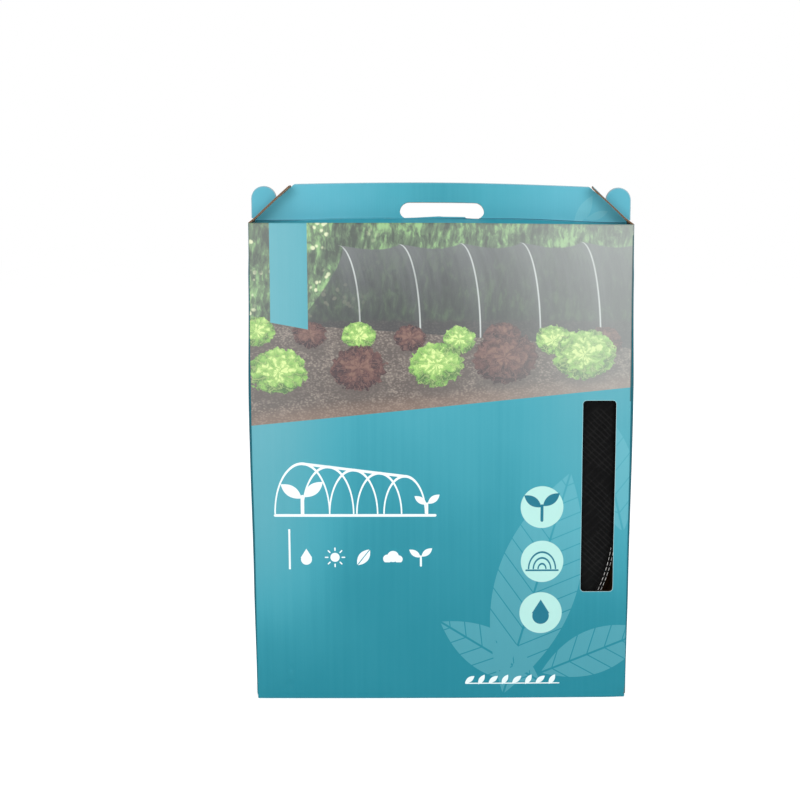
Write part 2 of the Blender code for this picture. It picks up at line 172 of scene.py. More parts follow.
# Hoops and the net sewn round them
HOOP_RADIUS = 0.219
HOOP_CENTRE_Z = 0.2267
HOOP_PLACES = [-0.0225 + 0.009 * index for index in range(6)]
HOOP_PITCH = 0.006
HOOP_POINT = 0.012
HOOP_TIP = 0.0008
POINT_SHARES = [0.12, 0.34, 0.68]
WIRE_RADIUS = 0.0025
SLEEVE_RADIUS = 0.0035
SLEEVE_PITCH = 0.0045
SLEEVE_HEM = 0.0006
SLEEVE_LUMPS = (-0.00018, 0.00006)
SLEEVE_MOUTH = 0.0001
SLEEVE_DRAWN = 0.00015
SLEEVE_RUCKS = (0.00010, 0.00008)
TUBE_SIDES = 16
STITCH_OFFSET = 0.0018
STITCH_LENGTH = 0.0050
STITCH_PITCH = 0.0068
STITCH_RADIUS = 0.00032
STITCH_PROUD = 0.00005
STITCH_SHAPE = ((-0.5, 0.35, 1.0), (-0.36, 0.9, 0.25), (0.0, 1.0, 0.0), (0.36, 0.9, 0.25), (0.5, 0.35, 1.0))

# Net, folded up and down between the hoops
NET_RADIUS = 0.2157
NET_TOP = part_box("hoop_sleeve_1")[1].z
NET_THICKNESS = 0.00025
FOLD_REACH = 0.0012
BAY_LAYER_PITCH = 0.0032
BAY_EDGE = 0.02
BAY_GRID = (64, 34)
BAY_PLEAT = 0.0007
BAY_RIPPLE = 0.0003
END_CREST = 0.0296
END_BACK = 0.0242
END_EDGE = 0.007
END_VALLEY = 0.0028
END_INNER_GAP = 0.0004
END_GRID = (150, 74)
COVER_LOW = 0.172
COVER_HIGH = 0.208
COVER_REACH = 0.0050
COVER_WIDTH = 0.012
COVER_SHARE = 0.48

# The front's layout in millimetres from the middle of its foot
PICTURE_EDGE = (353.6, 238.3, 0.1014)
TAB = (-209.7, -164.0, 482.5, -0.19)
TITLE_LEFT, TITLE_RIGHT, TITLE_FOOT, TITLE_TOP = -208.0, -8.0, 242.0, 306.0
TITLE_STROKE = 1.7
RULE = (-192.2, -189.8, 170.5, 222.4)
ICON_ROW = (-170.0, 36.0, 186.0)
BADGES = ((126.0, 250.1), (126.8, 180.0), (125.6, 113.1))
BADGE_RADIUS = 26.8
LEAF_ROW = (36.0, 15.0, 8, 25.0)
LARGE_LEAVES = ((120.0, 150.0, 300.0, 104.0, 74.0), (196.0, 62.0, 150.0, 58.0, 22.0),
                (62.0, 62.0, 150.0, 56.0, 148.0), (208.0, 300.0, 170.0, 62.0, 104.0))
# Painted shade line on the front's right crease: its left and right ends, foot and top
SHADED_EDGE_SPAN = (232.7, 233.4, 384.0, 591.0)
SOFT = 0.25

# Pitch, shift, height and slope of the row's line, and radius of a head, in millimetres
LETTUCE_ROWS = {
    "far lettuces": (61.0, 12.0, 462.0, -0.03, 22.0),
    "near lettuces": (96.0, 60.0, 431.0, 0.05, 37.0),
}

# Run of the picture over the front strip's bend, at its left and at its right end
CREASE_PRINT = (0.0032, 0.0025)

# Pitch of the flutes inside the board
FLUTE_PITCH = 0.0033

# Stage
CAMERA_PLACE = (-0.0179, -1.794, 0.6618)
CAMERA_TILT = math.radians(81.094)
CAMERA_TURN = math.radians(-0.58)
WORLD_LIGHT = 0.42
FLOOR_GLOW = 0.6
WHITE = (1.0, 1.0, 1.0)
LAMPS = (
    ("left lamp", (-0.66, -1.9, 0.95), (0.0, 0.0, 0.35), 0.8, 13.0),
    ("right lamp", (0.66, -1.9, 0.95), (0.0, 0.0, 0.35), 0.8, 13.0),
    ("back lamp", (1.1, 2.2, 1.0), (0.0, 0.0, 0.35), 1.6, 9.0),
    ("top lamp", (0.0, -0.5, 2.6), (0.0, 0.0, 0.3), 1.6, 12.0),
)


def srgb(red, green, blue):
    """A screen colour from 0 to 255 as the linear numbers that a shader takes."""
    shares = [value / 255 for value in (red, green, blue)]
    return tuple(share / 12.92 if share <= 0.04045 else ((share + 0.055) / 1.055) ** 2.4 for share in shares)


# Colours
KRAFT_DARK = srgb(140, 108, 80)
KRAFT_LIGHT = srgb(176, 142, 110)
EDGE_PALE = srgb(168, 138, 112)
# Painted shade in the open hollows of a cut board edge
EDGE_HOLLOW_SHADE = srgb(84, 58, 40)
TEAL_DEEP = srgb(26, 130, 147)
TEAL_MID = srgb(58, 155, 172)
TEAL_PALE = srgb(112, 175, 186)
TEAL_MOTIF = srgb(122, 192, 203)
TEAL_HANDLE = srgb(94, 178, 197)
# Painted shade in the crease at the foot of the handle's plies
TEAL_CREASE_SHADE = srgb(10, 84, 104)
# Painted shade on the front's rounded right crease
TEAL_EDGE_SHADE = srgb(58, 88, 92)
# Side walls' teal, darkened as painted shade
TEAL_SIDE_SHADE = srgb(18, 96, 110)
TEAL_SIDE_SHADE_PALE = srgb(30, 114, 130)
# Pale rim of the window's cut edge, partly a painted highlight
CUT_RIM_AND_HIGHLIGHT = srgb(170, 212, 218)
PLY_RIM = srgb(176, 182, 188)
TEAL_INK = srgb(20, 112, 134)
WHITE_INK = srgb(238, 248, 248)
MINT_INK = srgb(180, 226, 219)
FOLIAGE_DARK = srgb(66, 76, 68)
FOLIAGE_MID = srgb(96, 118, 92)
FOLIAGE_LIGHT = srgb(146, 188, 128)
BLOSSOM = srgb(232, 236, 196)
SOIL_DARK = srgb(88, 78, 74)
SOIL_LIGHT = srgb(148, 136, 126)
SOIL_RED = srgb(142, 116, 100)
NET_DARK = srgb(48, 50, 54)
NET_LIGHT = srgb(112, 116, 118)
HOOP_LINE = srgb(206, 212, 210)
HEART_GREEN = srgb(214, 236, 150)
LEAF_GREEN = srgb(134, 186, 88)
SHADE_GREEN = srgb(66, 104, 52)
LEAF_RED = srgb(94, 60, 58)
SHADE_RED = srgb(48, 26, 34)
HEART_RED = srgb(126, 94, 82)
FRILL_RED = srgb(154, 114, 104)
# Pale tone of the painted glare that fades the picture
GLARE_PALE = srgb(214, 220, 218)


def clamp(value):
    """The value, kept from 0 to 1."""
    return min(1.0, max(0.0, value))


def smooth(value, low, high):
    """0 below low, 1 above high, and a soft step between."""
    share = clamp((value - low) / (high - low))
    return share * share * (3 - 2 * share)


def arc(centre_u, centre_v, radius, start, end, steps):
    """Points along a circular arc in degrees, both ends included."""
    turns = [math.radians(start + (end - start) * step / steps) for step in range(steps + 1)]
    return [(centre_u + radius * math.cos(turn), centre_v + radius * math.sin(turn)) for turn in turns]


def rounded_box(low, high, radius):
    """Outline of a rectangle with round corners."""
    u0, v0, u1, v1 = low[0] + radius, low[1] + radius, high[0] - radius, high[1] - radius
    corners = ((u1, v1, 0), (u0, v1, 90), (u0, v0, 180), (u1, v0, 270))
    return [point for u, v, start in corners for point in arc(u, v, radius, start, start + 90, 6)]


def evenly(low, high, pitch):
    """Places between two ends, about a pitch apart."""
    count = max(1, round((high - low) / pitch))
    return [low + (high - low) * step / count for step in range(count + 1)]


# Nodes: a field is a number that varies over a surface


class Field:
    """The output of a shader node, with arithmetic that adds Math nodes."""

    def __init__(self, socket):
        self.socket = socket
        self.tree = socket.id_data

    def math(self, operation, *others):
        """Add a Math node that works on this field and others."""
        node = self.tree.nodes.new("ShaderNodeMath")
        node.operation = operation
        for socket, value in zip(node.inputs, (self, *others)):
            wire(value, socket)
        return Field(node.outputs[0])

    def __add__(self, other):
        return self.math("ADD", other)

    def __sub__(self, other):
        return self.math("SUBTRACT", other)

    def __rsub__(self, other):
        return self * -1.0 + other

    def __mul__(self, other):
        return self.math("MULTIPLY", other)

    def __truediv__(self, other):
        return self.math("DIVIDE", other)

    def __abs__(self):
        return self.math("ABSOLUTE")

    def step(self, low, high, to_low=0.0, to_high=1.0):
        """A soft step from to_low to to_high as this field goes from low to high."""
        node = self.tree.nodes.new("ShaderNodeMapRange")
        node.interpolation_type = "SMOOTHSTEP"
        feed(node, {"Value": self, "From Min": low, "From Max": high, "To Min": to_low, "To Max": to_high})
        return Field(node.outputs["Result"])


def wire(value, socket):
    """Link a field or an output to an input, or set the input to a plain value."""
    if isinstance(value, Field):
        value = value.socket
    if isinstance(value, bpy.types.NodeSocket):
        socket.id_data.links.new(value, socket)
    elif isinstance(value, tuple) and socket.type == "RGBA":
        socket.default_value = (*value, 1.0)
    else:
        socket.default_value = value


def feed(node, values):
    """Wire or set inputs of a node by name."""
    for name, value in values.items():
        wire(value, node.inputs[name])


def new_material(name, look, *values):
    """A node material whose Principled shader takes the inputs that look makes in its tree."""
    material = bpy.data.materials.new(name)
    material.use_nodes = True
    feed(material.node_tree.nodes["Principled BSDF"], look(material.node_tree, *values))
    return material


def vector(x, y, z=0.0):
    """A vector made from three fields or numbers, the first a field."""
    node = x.tree.nodes.new("ShaderNodeCombineXYZ")
    for socket, value in zip(node.inputs, (x, y, z)):
        wire(value, socket)
    return node.outputs[0]


def split(socket):
    """The three fields of a vector."""
    node = socket.id_data.nodes.new("ShaderNodeSeparateXYZ")
    wire(socket, node.inputs[0])
    return [Field(output) for output in node.outputs]


def board_uv(tree):
    """Place on a board's flat sheet in metres; on a cut edge, run along it and depth share."""
    node = tree.nodes.new("ShaderNodeUVMap")
    node.uv_map = "board"
    return split(node.outputs["UV"])[:2]


def object_place(tree):
    """Place in the object's own frame in metres."""
    return tree.nodes.new("ShaderNodeTexCoord").outputs["Object"]


def noise(place, scale, detail=3.0, roughness=0.5):
    """Cloudy noise about 0.5, with scale in waves per metre."""
    node = place.id_data.nodes.new("ShaderNodeTexNoise")
    feed(node, {"Vector": place, "Scale": scale, "Detail": detail, "Roughness": roughness})
    return Field(node.outputs["Fac"])


def cells(place, scale, feature="F1"):
    """Distance in Voronoi cells, with scale in cells per metre."""
    node = place.id_data.nodes.new("ShaderNodeTexVoronoi")
    node.feature = feature
    feed(node, {"Vector": place, "Scale": scale})
    return Field(node.outputs["Distance"])


def mix(share, first, second):
    """A colour between two."""
    node = share.tree.nodes.new("ShaderNodeMix")
    node.data_type = "RGBA"
    wire(share, node.inputs["Factor"])
    colours = [socket for socket in node.inputs if socket.type == "RGBA"]
    for socket, value in zip(colours, (first, second)):
        wire(value, socket)
    return next(socket for socket in node.outputs if socket.type == "RGBA")


def bump(height, distance, strength):
    """A normal that follows a height field; distance is the height in metres of its full range."""
    node = height.tree.nodes.new("ShaderNodeBump")
    feed(node, {"Height": height, "Distance": distance, "Strength": strength})
    return node.outputs["Normal"]


def in_group(name, build, *values):
    """Build a part of a material in a node group of its own, once, and feed it with fields and colours."""
    node = values[0].tree.nodes.new("ShaderNodeGroup")
    node.node_tree = bpy.data.node_groups.get(name) or new_group(name, build, values)
    for value, socket in zip(values, node.inputs):
        wire(value, socket)
    result = node.outputs[0]
    return Field(result) if result.type == "VALUE" else result


def new_group(name, build, values):
    """A node group whose result is what build makes of its inputs."""
    group = bpy.data.node_groups.new(name, "ShaderNodeTree")
    entry = group.nodes.new("NodeGroupInput")
    leave = group.nodes.new("NodeGroupOutput")
    for index, value in enumerate(values):
        add_socket(group, f"value {index}", "INPUT", value)
    inner = [Field(socket) if isinstance(value, Field) else socket
             for value, socket in zip(values, entry.outputs)]
    made = build(*inner)
    add_socket(group, "result", "OUTPUT", made)
    wire(made, leave.inputs[0])
    return group


def add_socket(group, name, direction, value):
    """Give a node group an input or an output that fits a value."""
    kind = "NodeSocketFloat" if isinstance(value, Field) else "NodeSocketColor"
    group.interface.new_socket(name=name, in_out=direction, socket_type=kind)


# Boards: a flat sheet with its cut-outs, then folded into place as a closed solid


def flat_sheet(outline, holes, u_cuts, v_cuts):
    """A grid of faces inside an outline, in the plane of u and v."""
    bm = bmesh.new()
    for loop in (outline, *holes):
        corners = [bm.verts.new((u, v, 0.0)) for u, v in loop]
        for pair in zip(corners, corners[1:] + corners[:1]):
            bm.edges.new(pair)
    bmesh.ops.triangle_fill(bm, edges=bm.edges[:], use_beauty=True)
    for normal, cuts in ((Vector((1, 0, 0)), u_cuts), (Vector((0, 1, 0)), v_cuts)):
        for place in cuts:
            bmesh.ops.bisect_plane(bm, geom=bm.verts[:] + bm.edges[:] + bm.faces[:],
                                   plane_co=normal * place, plane_no=normal, dist=1e-6)
    slanted = [edge for edge in bm.edges if len(edge.link_faces) == 2 and is_slanted(edge)]
    bmesh.ops.dissolve_edges(bm, edges=slanted)
    loose = [vert for vert in bm.verts if len(vert.link_edges) == 2 and not vert.is_boundary]
    bmesh.ops.dissolve_verts(bm, verts=loose)
    for face in bm.faces:
        face.normal_update()
        if face.normal.z < 0:
            face.normal_flip()
    return bm


def is_slanted(edge):
    """Whether an edge runs along neither u nor v."""
    run = edge.verts[1].co - edge.verts[0].co
    return abs(run.x) > 1e-6 and abs(run.y) > 1e-6


def board(name, sheet, place, outside, node, body):
    """Fold a flat sheet into a closed board; place(u, v, depth) gives a point at a depth under its print."""
    bm = bmesh.new()
    layer = bm.loops.layers.uv.new("board")
    skins = [{vert: bm.verts.new(settled(place(vert.co.x, vert.co.y, depth))) for vert in sheet.verts}
             for depth in (0.0, BOARD)]
    for face in sheet.faces:
        for index, skin in enumerate(skins):
            corners = list(face.verts) if index == 0 else list(face.verts)[::-1]
            made = bm.faces.new([skin[vert] for vert in corners])
            made.material_index = index
            for loop, vert in zip(made.loops, corners):
                loop[layer].uv = (vert.co.x, vert.co.y)
    for edge in sheet.edges:
        if edge.is_boundary:
            loop = edge.link_loops[0]
            start, end = loop.vert, loop.link_loop_next.vert
            rim = ((start, 0), (start, 1), (end, 1), (end, 0))
            made = bm.faces.new([skins[index][vert] for vert, index in rim])
            made.material_index = 2
            for corner, (vert, index) in zip(made.loops, rim):
                corner[layer].uv = (vert.co.x + vert.co.y, index)
    sheet.free()
    return finish_piece(name, bm, [outside, kraft, raw_edge], node, body)


def finish_piece(name, bm, materials, node, body, sharp=40):
    """Add a shape to the scene with its materials; it rides on a body and stands for a CAD node."""
    mesh = bpy.data.meshes.new(name)
    bm.to_mesh(mesh)
    bm.free()
    mesh.shade_smooth()
    mesh.set_sharp_from_angle(angle=math.radians(sharp))
    for material in materials:
        mesh.materials.append(material)
    obj = bpy.data.objects.new(name, mesh)
    bpy.context.scene.collection.objects.link(obj)
    if node:
        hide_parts(node)
    if body:
        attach(obj, body)
    return obj


def profile(table, place):
    """The value of a table at a place, with soft steps between its rows."""
    for (low, near), (high, far) in zip(table, table[1:]):
        if place <= high:
            return near + (far - near) * smooth(place, low, high)
    return table[-1][1]


def corner_bow(side, z):
    """How far a side's upright corners stand out at a height."""
    return CORNER_BOW[side] * smooth(z, *BOW_RISE) * (1 - smooth(z, *BOW_FALL))


def settled(point):
    """A point of the carton after its corners have bowed out and its right end has settled at the top."""
    share = smooth(point.x, SETTLE_FROM_X, HALF_WIDTH) * smooth(point.z, SETTLE_FROM_Z, TOP)
    side = "right" if point.x > 0 else "left"
    bow = corner_bow(side, point.z) * smooth(abs(point.x), BOW_FROM_X, HALF_WIDTH)
    return Vector((point.x + math.copysign(bow, point.x), point.y, point.z - SETTLE * share))


def bulge(side, u, z):
    """How far a wall stands out from its true plane."""
    across = 1 - (u / WALLS[side][2]) ** 2
    if side in ("left", "right"):
        return (profile(SIDE_BULGE, z) - corner_bow(side, z)) * across
    if side == "front":
        return FRONT_BULGE * across * (1 - smooth(z, *FRONT_BULGE_FADE)) - dents(u, z)
    return 0.0


def dents(u, z):
    """How deep the front is dented."""
    depth = 0.0
    for place_u, place_z, size, deepest in DENTS:
        apart = math.hypot(u - place_u, (z - place_z) * DENT_SQUASH) / size
        depth += deepest * math.exp(-apart * apart)
    apart = math.hypot(u - HALF_WIDTH, z) / CRUSH_REACH
    ridges = 0.5 + 0.5 * math.sin((u - z) * 2 * math.pi / CRUSH_RIDGE)
    return depth + CRUSH * (1 - smooth(apart, 0.2, 1.0)) * (0.45 + 0.55 * ridges)


def wall_point(side, u, v, depth):
    """A point of a wall whose upright edges and foot are rounded to the middle of their creases."""
    along, outward, half, distance, foot = WALLS[side]
    flat = half - CREASE_RADIUS
    turn = math.copysign(math.pi / 4 * clamp((abs(u) - flat) / CREASE_RADIUS), u)
    dip = math.pi / 4 * clamp((CREASE_RADIUS - v) / CREASE_RADIUS)
    lean = 0.0
    if side in ("left", "right"):
        lean = FLAP_TURN / 2 * clamp((v - (TOP - foot - FLAP_CREASE)) / FLAP_CREASE)
    reach = math.copysign(min(abs(u), flat), u) + CREASE_RADIUS * math.sin(turn)
    out = distance + bulge(side, u, v)
    out -= CREASE_RADIUS * (3 - math.cos(turn) - math.cos(dip) - math.cos(lean))
    height = foot + max(v, CREASE_RADIUS) - CREASE_RADIUS * math.sin(dip)
    if lean:
        height = TOP - FLAP_CREASE + CREASE_RADIUS * math.sin(lean)
    tilt = lean - dip
    normal = (along * math.sin(turn) + outward * math.cos(turn)) * math.cos(tilt) + UP * math.sin(tilt)
    return along * reach + outward * out + UP * height - normal * depth


def crease_cuts(edge, inward, radius=CREASE_RADIUS):
    """Cuts across a crease whose middle is at edge."""
    return [edge + inward * radius * step / CREASE_CUTS for step in range(1, CREASE_CUTS + 1)]


def make_walls():
    """The four walls, each from crease middle to crease middle, with a finer grid at the front's dents."""
    prints = {"front": front_print, "back": back_print}
    for side, (_, _, half, _, foot) in WALLS.items():
        height = TOP - foot
        u_cuts = evenly(-half, half, GRID if side in prints else GRID / 2)[1:-1]
        u_cuts += crease_cuts(half, -1) + crease_cuts(-half, 1)
        v_cuts = evenly(0.0, height, GRID)[1:-1] + crease_cuts(0.0, 1)
        if side in prints:
            name = side
            notch, shoulder, rim = half - CORNER_NOTCH, height - CREASE_RADIUS, height - NOTCH_DROP
            outline = [(-half, 0.0), (half, 0.0), (half, rim), (notch, rim), (notch, shoulder),
                       (-notch, shoulder), (-notch, rim), (-half, rim)]
        else:
            name = f"{side}_side"
            v_cuts += crease_cuts(height, -1, FLAP_CREASE)
            outline = [(-half, 0.0), (half, 0.0), (half, height), (-half, height)]
        holes = []
        if side == "front":
            holes = [rounded_box(WINDOW_LOW, WINDOW_HIGH, WINDOW_CORNER)]
            u_cuts += [DENTS[0][0] + DENT_GRID * step for step in range(-5, 6)]
            u_cuts += [HALF_WIDTH - DENT_GRID * step for step in range(1, 15)]
            v_cuts += [DENT_GRID * step for step in range(1, 32)]
        sheet = flat_sheet(outline, holes, u_cuts, v_cuts)
        board(f"{name}_wall", sheet, partial(wall_point, side), prints.get(side, side_shaded_print),
              f"{name}_panel", "carton")


def bent_point(side, u, turn, run, corner, depth, up=UP):
    """A point of a panel that turns inward round a crease centred on corner and then runs straight."""
    along, outward = WALLS[side][:2]
    normal = outward * math.cos(turn) + up * math.sin(turn)
    onward = up * math.cos(turn) - outward * math.sin(turn)
    return along * u + corner + normal * (CREASE_RADIUS - depth) + onward * run


def bottom_flap_point(side, u, v, depth):
    """A point of a bottom flap, where v runs from 0 at the middle of its crease down to its free edge."""
    _, outward, _, distance, foot = WALLS[side]
    turn = math.pi / 4 * (1 + min(1.0, -v / CREASE_RADIUS))
    sprung = bulge(side, u, 0.0) * (1 - smooth(-v, 0.0, BOTTOM_SPRING))
    corner = outward * (distance + sprung - CREASE_RADIUS) + UP * (foot + CREASE_RADIUS)
    return bent_point(side, u, turn, max(0.0, -v - CREASE_RADIUS), corner, depth, -UP)


def make_bottom_flaps():
    """Four flaps folded in on each other at the foot."""
    across = HALF_WIDTH - FLAP_PLAY
    flaps = {
        "front": (across, 2 * HALF_DEPTH - FLAP_PLAY), "back": (across, 2 * HALF_DEPTH - BOARD - GAP),
        "left": (INNER_DEPTH, SIDE_FOOT_FLAP), "right": (INNER_DEPTH, SIDE_FOOT_FLAP),
    }
    for side, (half, reach) in flaps.items():
        tip = half - FLAP_CHAMFER
        outline = [(-half, 0.0), (-tip, -reach), (tip, -reach), (half, 0.0)]
        v_cuts = crease_cuts(0.0, -1) + evenly(-reach, -CREASE_RADIUS, 2 * GRID)[1:-1]
        sheet = flat_sheet(outline, [], evenly(-half, half, 3 * GRID)[1:-1], v_cuts)
        board(f"bottom_{side}_fold", sheet, partial(bottom_flap_point, side), teal_print,
              f"bottom_{side}_flap", "carton")


def glue_flap_point(u, v, depth):
    """A point of the glue flap, which lies against the inside of the left wall."""
    along, outward, _, distance, _ = WALLS["left"]
    out = distance - BOARD - GAP + bulge("left", u, v - SIDE_FOOT) - depth
    return along * u + outward * out + UP * v


def make_glue_flap():
    """The flap glued to the inside of the left wall, with slanted ends."""
    near, far = -INNER_DEPTH, GLUE_FLAP_END
    low, high = (corner.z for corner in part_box("glue_flap"))
    outline = [(near, low + GLUE_FLAP_LIFT), (far, low + GLUE_FLAP_SLANT),
               (far, high - GLUE_FLAP_SLANT), (near, high)]
    sheet = flat_sheet(outline, [], evenly(near, far, GRID)[1:-1], evenly(low, high, GRID)[1:-1])
    board("glued_seam_flap", sheet, glue_flap_point, teal_print, "glue_flap", "carton")


# Top: a strip from each wall's crease to the middle, and an upright ply of the handle on it


def beyond_flap(rise=0.0, side=None):
    """How far in from the carton's corner a side flap and its gap end, at a height above the crease."""
    sag = flap_sag(side, 0.0, rise / math.sin(FLAP_LEAN)) if side else 0.0
    return (BOARD + GAP + sag + rise * math.cos(FLAP_LEAN)) / math.sin(FLAP_LEAN)


def flap_sag(side, y, run):
    """How far a side flap droops, or lifts where negative, at a depth and a run up from its crease."""
    front, back = FLAP_SAG[side]
    share = 0.5 + 0.5 * y / HALF_DEPTH
    droop = FLAP_DROOP[side] * smooth(run, 0.0, FLAP_DROOP_RUN) * max(0.0, -y / HALF_DEPTH)
    return (front + (back - front) * share) * (run / FLAP_LENGTH) ** 2 + droop


def handle_lift(x, rise):
    """How far the sprung top stands above its true place."""
    crease = profile(STRIP_LIFT, x)
    crown = HANDLE_CROWN * (1 - (x / HANDLE_CROWN_REACH) ** 2) - HANDLE_DROP - HANDLE_TILT * x
    crown *= 1 - smooth(abs(x), HANDLE_CROWN_REACH, HALF_WIDTH - EAR_WIDTH)
    share = smooth(rise, 0.0, LIFT_FADE)
    return crease * (1 - share) + max(crown, HANDLE_LOWEST * share) * share


def strip_point(side, u, v, depth):
    """A point of a top strip, from its crease with the wall to its crease with the handle."""
    along, outward, _, distance, _ = WALLS[side]
    run = max(0.0, v - CREASE_ARC)
    lift = handle_lift((along * u).x, 0.0) * smooth(run, 0.0, STRIP_RUN)
    corner = outward * (distance - CREASE_RADIUS) + UP * (TOP - CREASE_RADIUS + lift)
    return bent_point(side, u, min(v / CREASE_RADIUS, math.pi / 2), run, corner, depth)


def ply_point(side, u, v, depth):
    """A point of a handle ply, from the valley crease at its foot upwards."""
    along, outward = WALLS[side][:2]
    turn = min(v / VALLEY_RADIUS, math.pi / 2)
    normal = UP * math.cos(turn) + outward * math.sin(turn)
    out = VALLEY - VALLEY_RADIUS * math.sin(turn)
    rise = VALLEY_RADIUS * (1 - math.cos(turn)) + max(0.0, v - VALLEY_ARC)
    height = TOP + rise + handle_lift((along * u).x, rise)
    return along * u + outward * out + UP * height - normal * depth


def strip_half_widths():
    """Half width of a top strip at its wall and at the handle."""
    outer = HALF_WIDTH - beyond_flap() - STRIP_END_PLAY
    return outer, outer - STRIP_TAPER


def make_strips():
    """The two top strips; each bends at its wall's crease."""
    outer, inner = strip_half_widths()
    tall, bent = CREASE_ARC + STRIP_RUN, CREASE_ARC + STRIP_FINE_RUN
    for side in ("front", "back"):
        outward = WALLS[side][1]
        outline = [(-outer, 0.0), (outer, 0.0), (inner, tall), (-inner, tall)]
        v_cuts = evenly(0.0, CREASE_ARC, CREASE_ARC / 6)[1:] + evenly(CREASE_ARC, bent, STRIP_BEND_PITCH)[1:]
        v_cuts += evenly(bent, tall, STRIP_PITCH)[1:-1]
        sheet = flat_sheet(outline, [], evenly(-outer, outer, 2 * GRID)[1:-1], v_cuts)
        piece = board(f"top_{side}_sheet", sheet, partial(strip_point, side),
                      strip_print if side == "front" else teal_print, f"top_{side}_strip", None)
        start = outward * HALF_DEPTH + UP * (TOP - CREASE_RADIUS)
        start + (UP * 0.5 - outward) * CREASE_RADIUS
        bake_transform(piece)


def round_corner(before, corner, after):
    """Points that round a corner of a ply's outline."""
    corner = Vector(corner)
    start = corner + (Vector(before) - corner).normalized() * PLY_CORNER
    end = corner + (Vector(after) - corner).normalized() * PLY_CORNER
    bends = [start * (1 - share) ** 2 + corner * 2 * share * (1 - share) + end * share ** 2
             for share in evenly(0.0, 1.0, 0.2)]
    return [(bend.x, bend.y) for bend in bends]


def ply_half_outline(side):
    """One end of a handle ply from its foot up over the ear, as distance in from the corner and rise."""
    ear_radius = EAR_WIDTH / 2
    ear_inner = EAR_OUTER_INSET + EAR_WIDTH
    notch = ear_inner * math.tan(FLAP_LEAN)
    foot_inset = HALF_WIDTH - strip_half_widths()[1]
    foot_rise = (foot_inset - beyond_flap()) * math.tan(FLAP_LEAN)
    ear = arc(EAR_OUTER_INSET + ear_radius, EAR_TOP - ear_radius, ear_radius, 180, 0, 16)
    top_corner = (beyond_flap(PLY_HEIGHT, side), PLY_HEIGHT)
    slant_foot = (beyond_flap(notch, side), notch)
    return ([(foot_inset, 0.0), (foot_inset, foot_rise), (beyond_flap(EAR_FOOT), EAR_FOOT),
             (EAR_OUTER_INSET, EAR_FOOT)] + ear + [(ear_inner, notch), slant_foot]
            + round_corner(slant_foot, top_corner, (top_corner[0] + 0.01, PLY_HEIGHT)))


def hole_outline(side):
    """The hand hole: its round ends stop short at the foot, which in front climbs and steps down."""
    radius = HOLE_HEIGHT / 2
    straight = HOLE_WIDTH / 2 - radius
    middle = HOLE_RISE - (HOLE_BACK_DROP if side == "back" else 0.0)
    start, end = HOLE_ENDS[side]
    right = arc(HOLE_MIDDLE + straight, middle, radius, start, 90, 12)
    left = arc(HOLE_MIDDLE - straight, middle, radius, 90, end, 12)
    return right + left + (list(HOLE_FOOT) if side == "front" else [])


def make_plies():
    """The two plies of the handle; each bends at its strip's crease."""
    to_sheet = VALLEY_RADIUS * (math.pi / 2 - 1)
    for side in ("front", "back"):
        outward = WALLS[side][1]
        right_end, left_end = ply_half_outline("right"), ply_half_outline("left")
        hole = hole_outline(side)
        if side == "back":
            right_end, left_end = left_end, right_end
            hole = [(-u, v) for u, v in reversed(hole)]
        right = [(HALF_WIDTH - inset, rise) for inset, rise in right_end]
        left = [(inset - HALF_WIDTH, rise) for inset, rise in reversed(left_end)]
        outline = [(u, max(0.0, v + to_sheet if v else 0.0)) for u, v in right + left]
        v_cuts = evenly(0.0, VALLEY_ARC, VALLEY_ARC / 2)[1:]
        v_cuts += evenly(VALLEY_ARC, PLY_HEIGHT, PLY_PITCH)[1:-1]
        sheet = flat_sheet(outline, [hole], evenly(-HALF_WIDTH, HALF_WIDTH, GRID)[1:-1], v_cuts)
        piece = board(f"handle_{side}_sheet", sheet, partial(ply_point, side), handle_print,
                      f"handle_{side}", None)
        start = outward * VALLEY + UP * TOP
        start - outward * VALLEY_RADIUS
        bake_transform(piece)


def side_flap_point(side, u, v, depth):
    """A point of a side flap, from the middle of its crease to its tip."""
    along, outward, _, distance, _ = WALLS[side]
    turn = FLAP_TURN / 2 + min(v / CREASE_RADIUS, FLAP_TURN / 2)
    run = max(0.0, v - FLAP_ARC)
    corner = outward * (distance - CREASE_RADIUS) + UP * (TOP - FLAP_CREASE)
    return bent_point(side, u, turn, run, corner, depth + flap_sag(side, (along * u).y, run))


def make_side_flaps():
    """The two side flaps, whose slots take the ears of both plies."""
    half = HALF_DEPTH - FLAP_PLAY
    crease_run = FLAP_ARC - FLAP_CREASE
    end = FLAP_LENGTH + crease_run
    slot_low, slot_high = EAR_FOOT + crease_run, end - SLOT_END_MARGIN
    for side in ("left", "right"):
        slot = [(-SLOT_HALF_WIDTH, slot_low), (SLOT_HALF_WIDTH, slot_low),
                (SLOT_HALF_WIDTH, slot_high), (-SLOT_HALF_WIDTH, slot_high)]
        outline = [(-half, 0.0), (half, 0.0), (half, end - FLAP_TIP_SLANT), (0.0, end), (-half, end)]
        if side == "left":
            outline = [(-u, v) for u, v in reversed(outline)]
        v_cuts = evenly(0.0, FLAP_ARC, FLAP_ARC / 4)[1:] + evenly(FLAP_ARC, end, FLAP_PITCH)[1:-1]
        sheet = flat_sheet(outline, [slot], evenly(-half, half, GRID)[1:-1], v_cuts)
        board(f"{side}_side_lock_flap", sheet, partial(side_flap_point, side), teal_print,
              f"{side}_side_flap", f"{side}_flap")


# Hoops, their sleeves and stitching


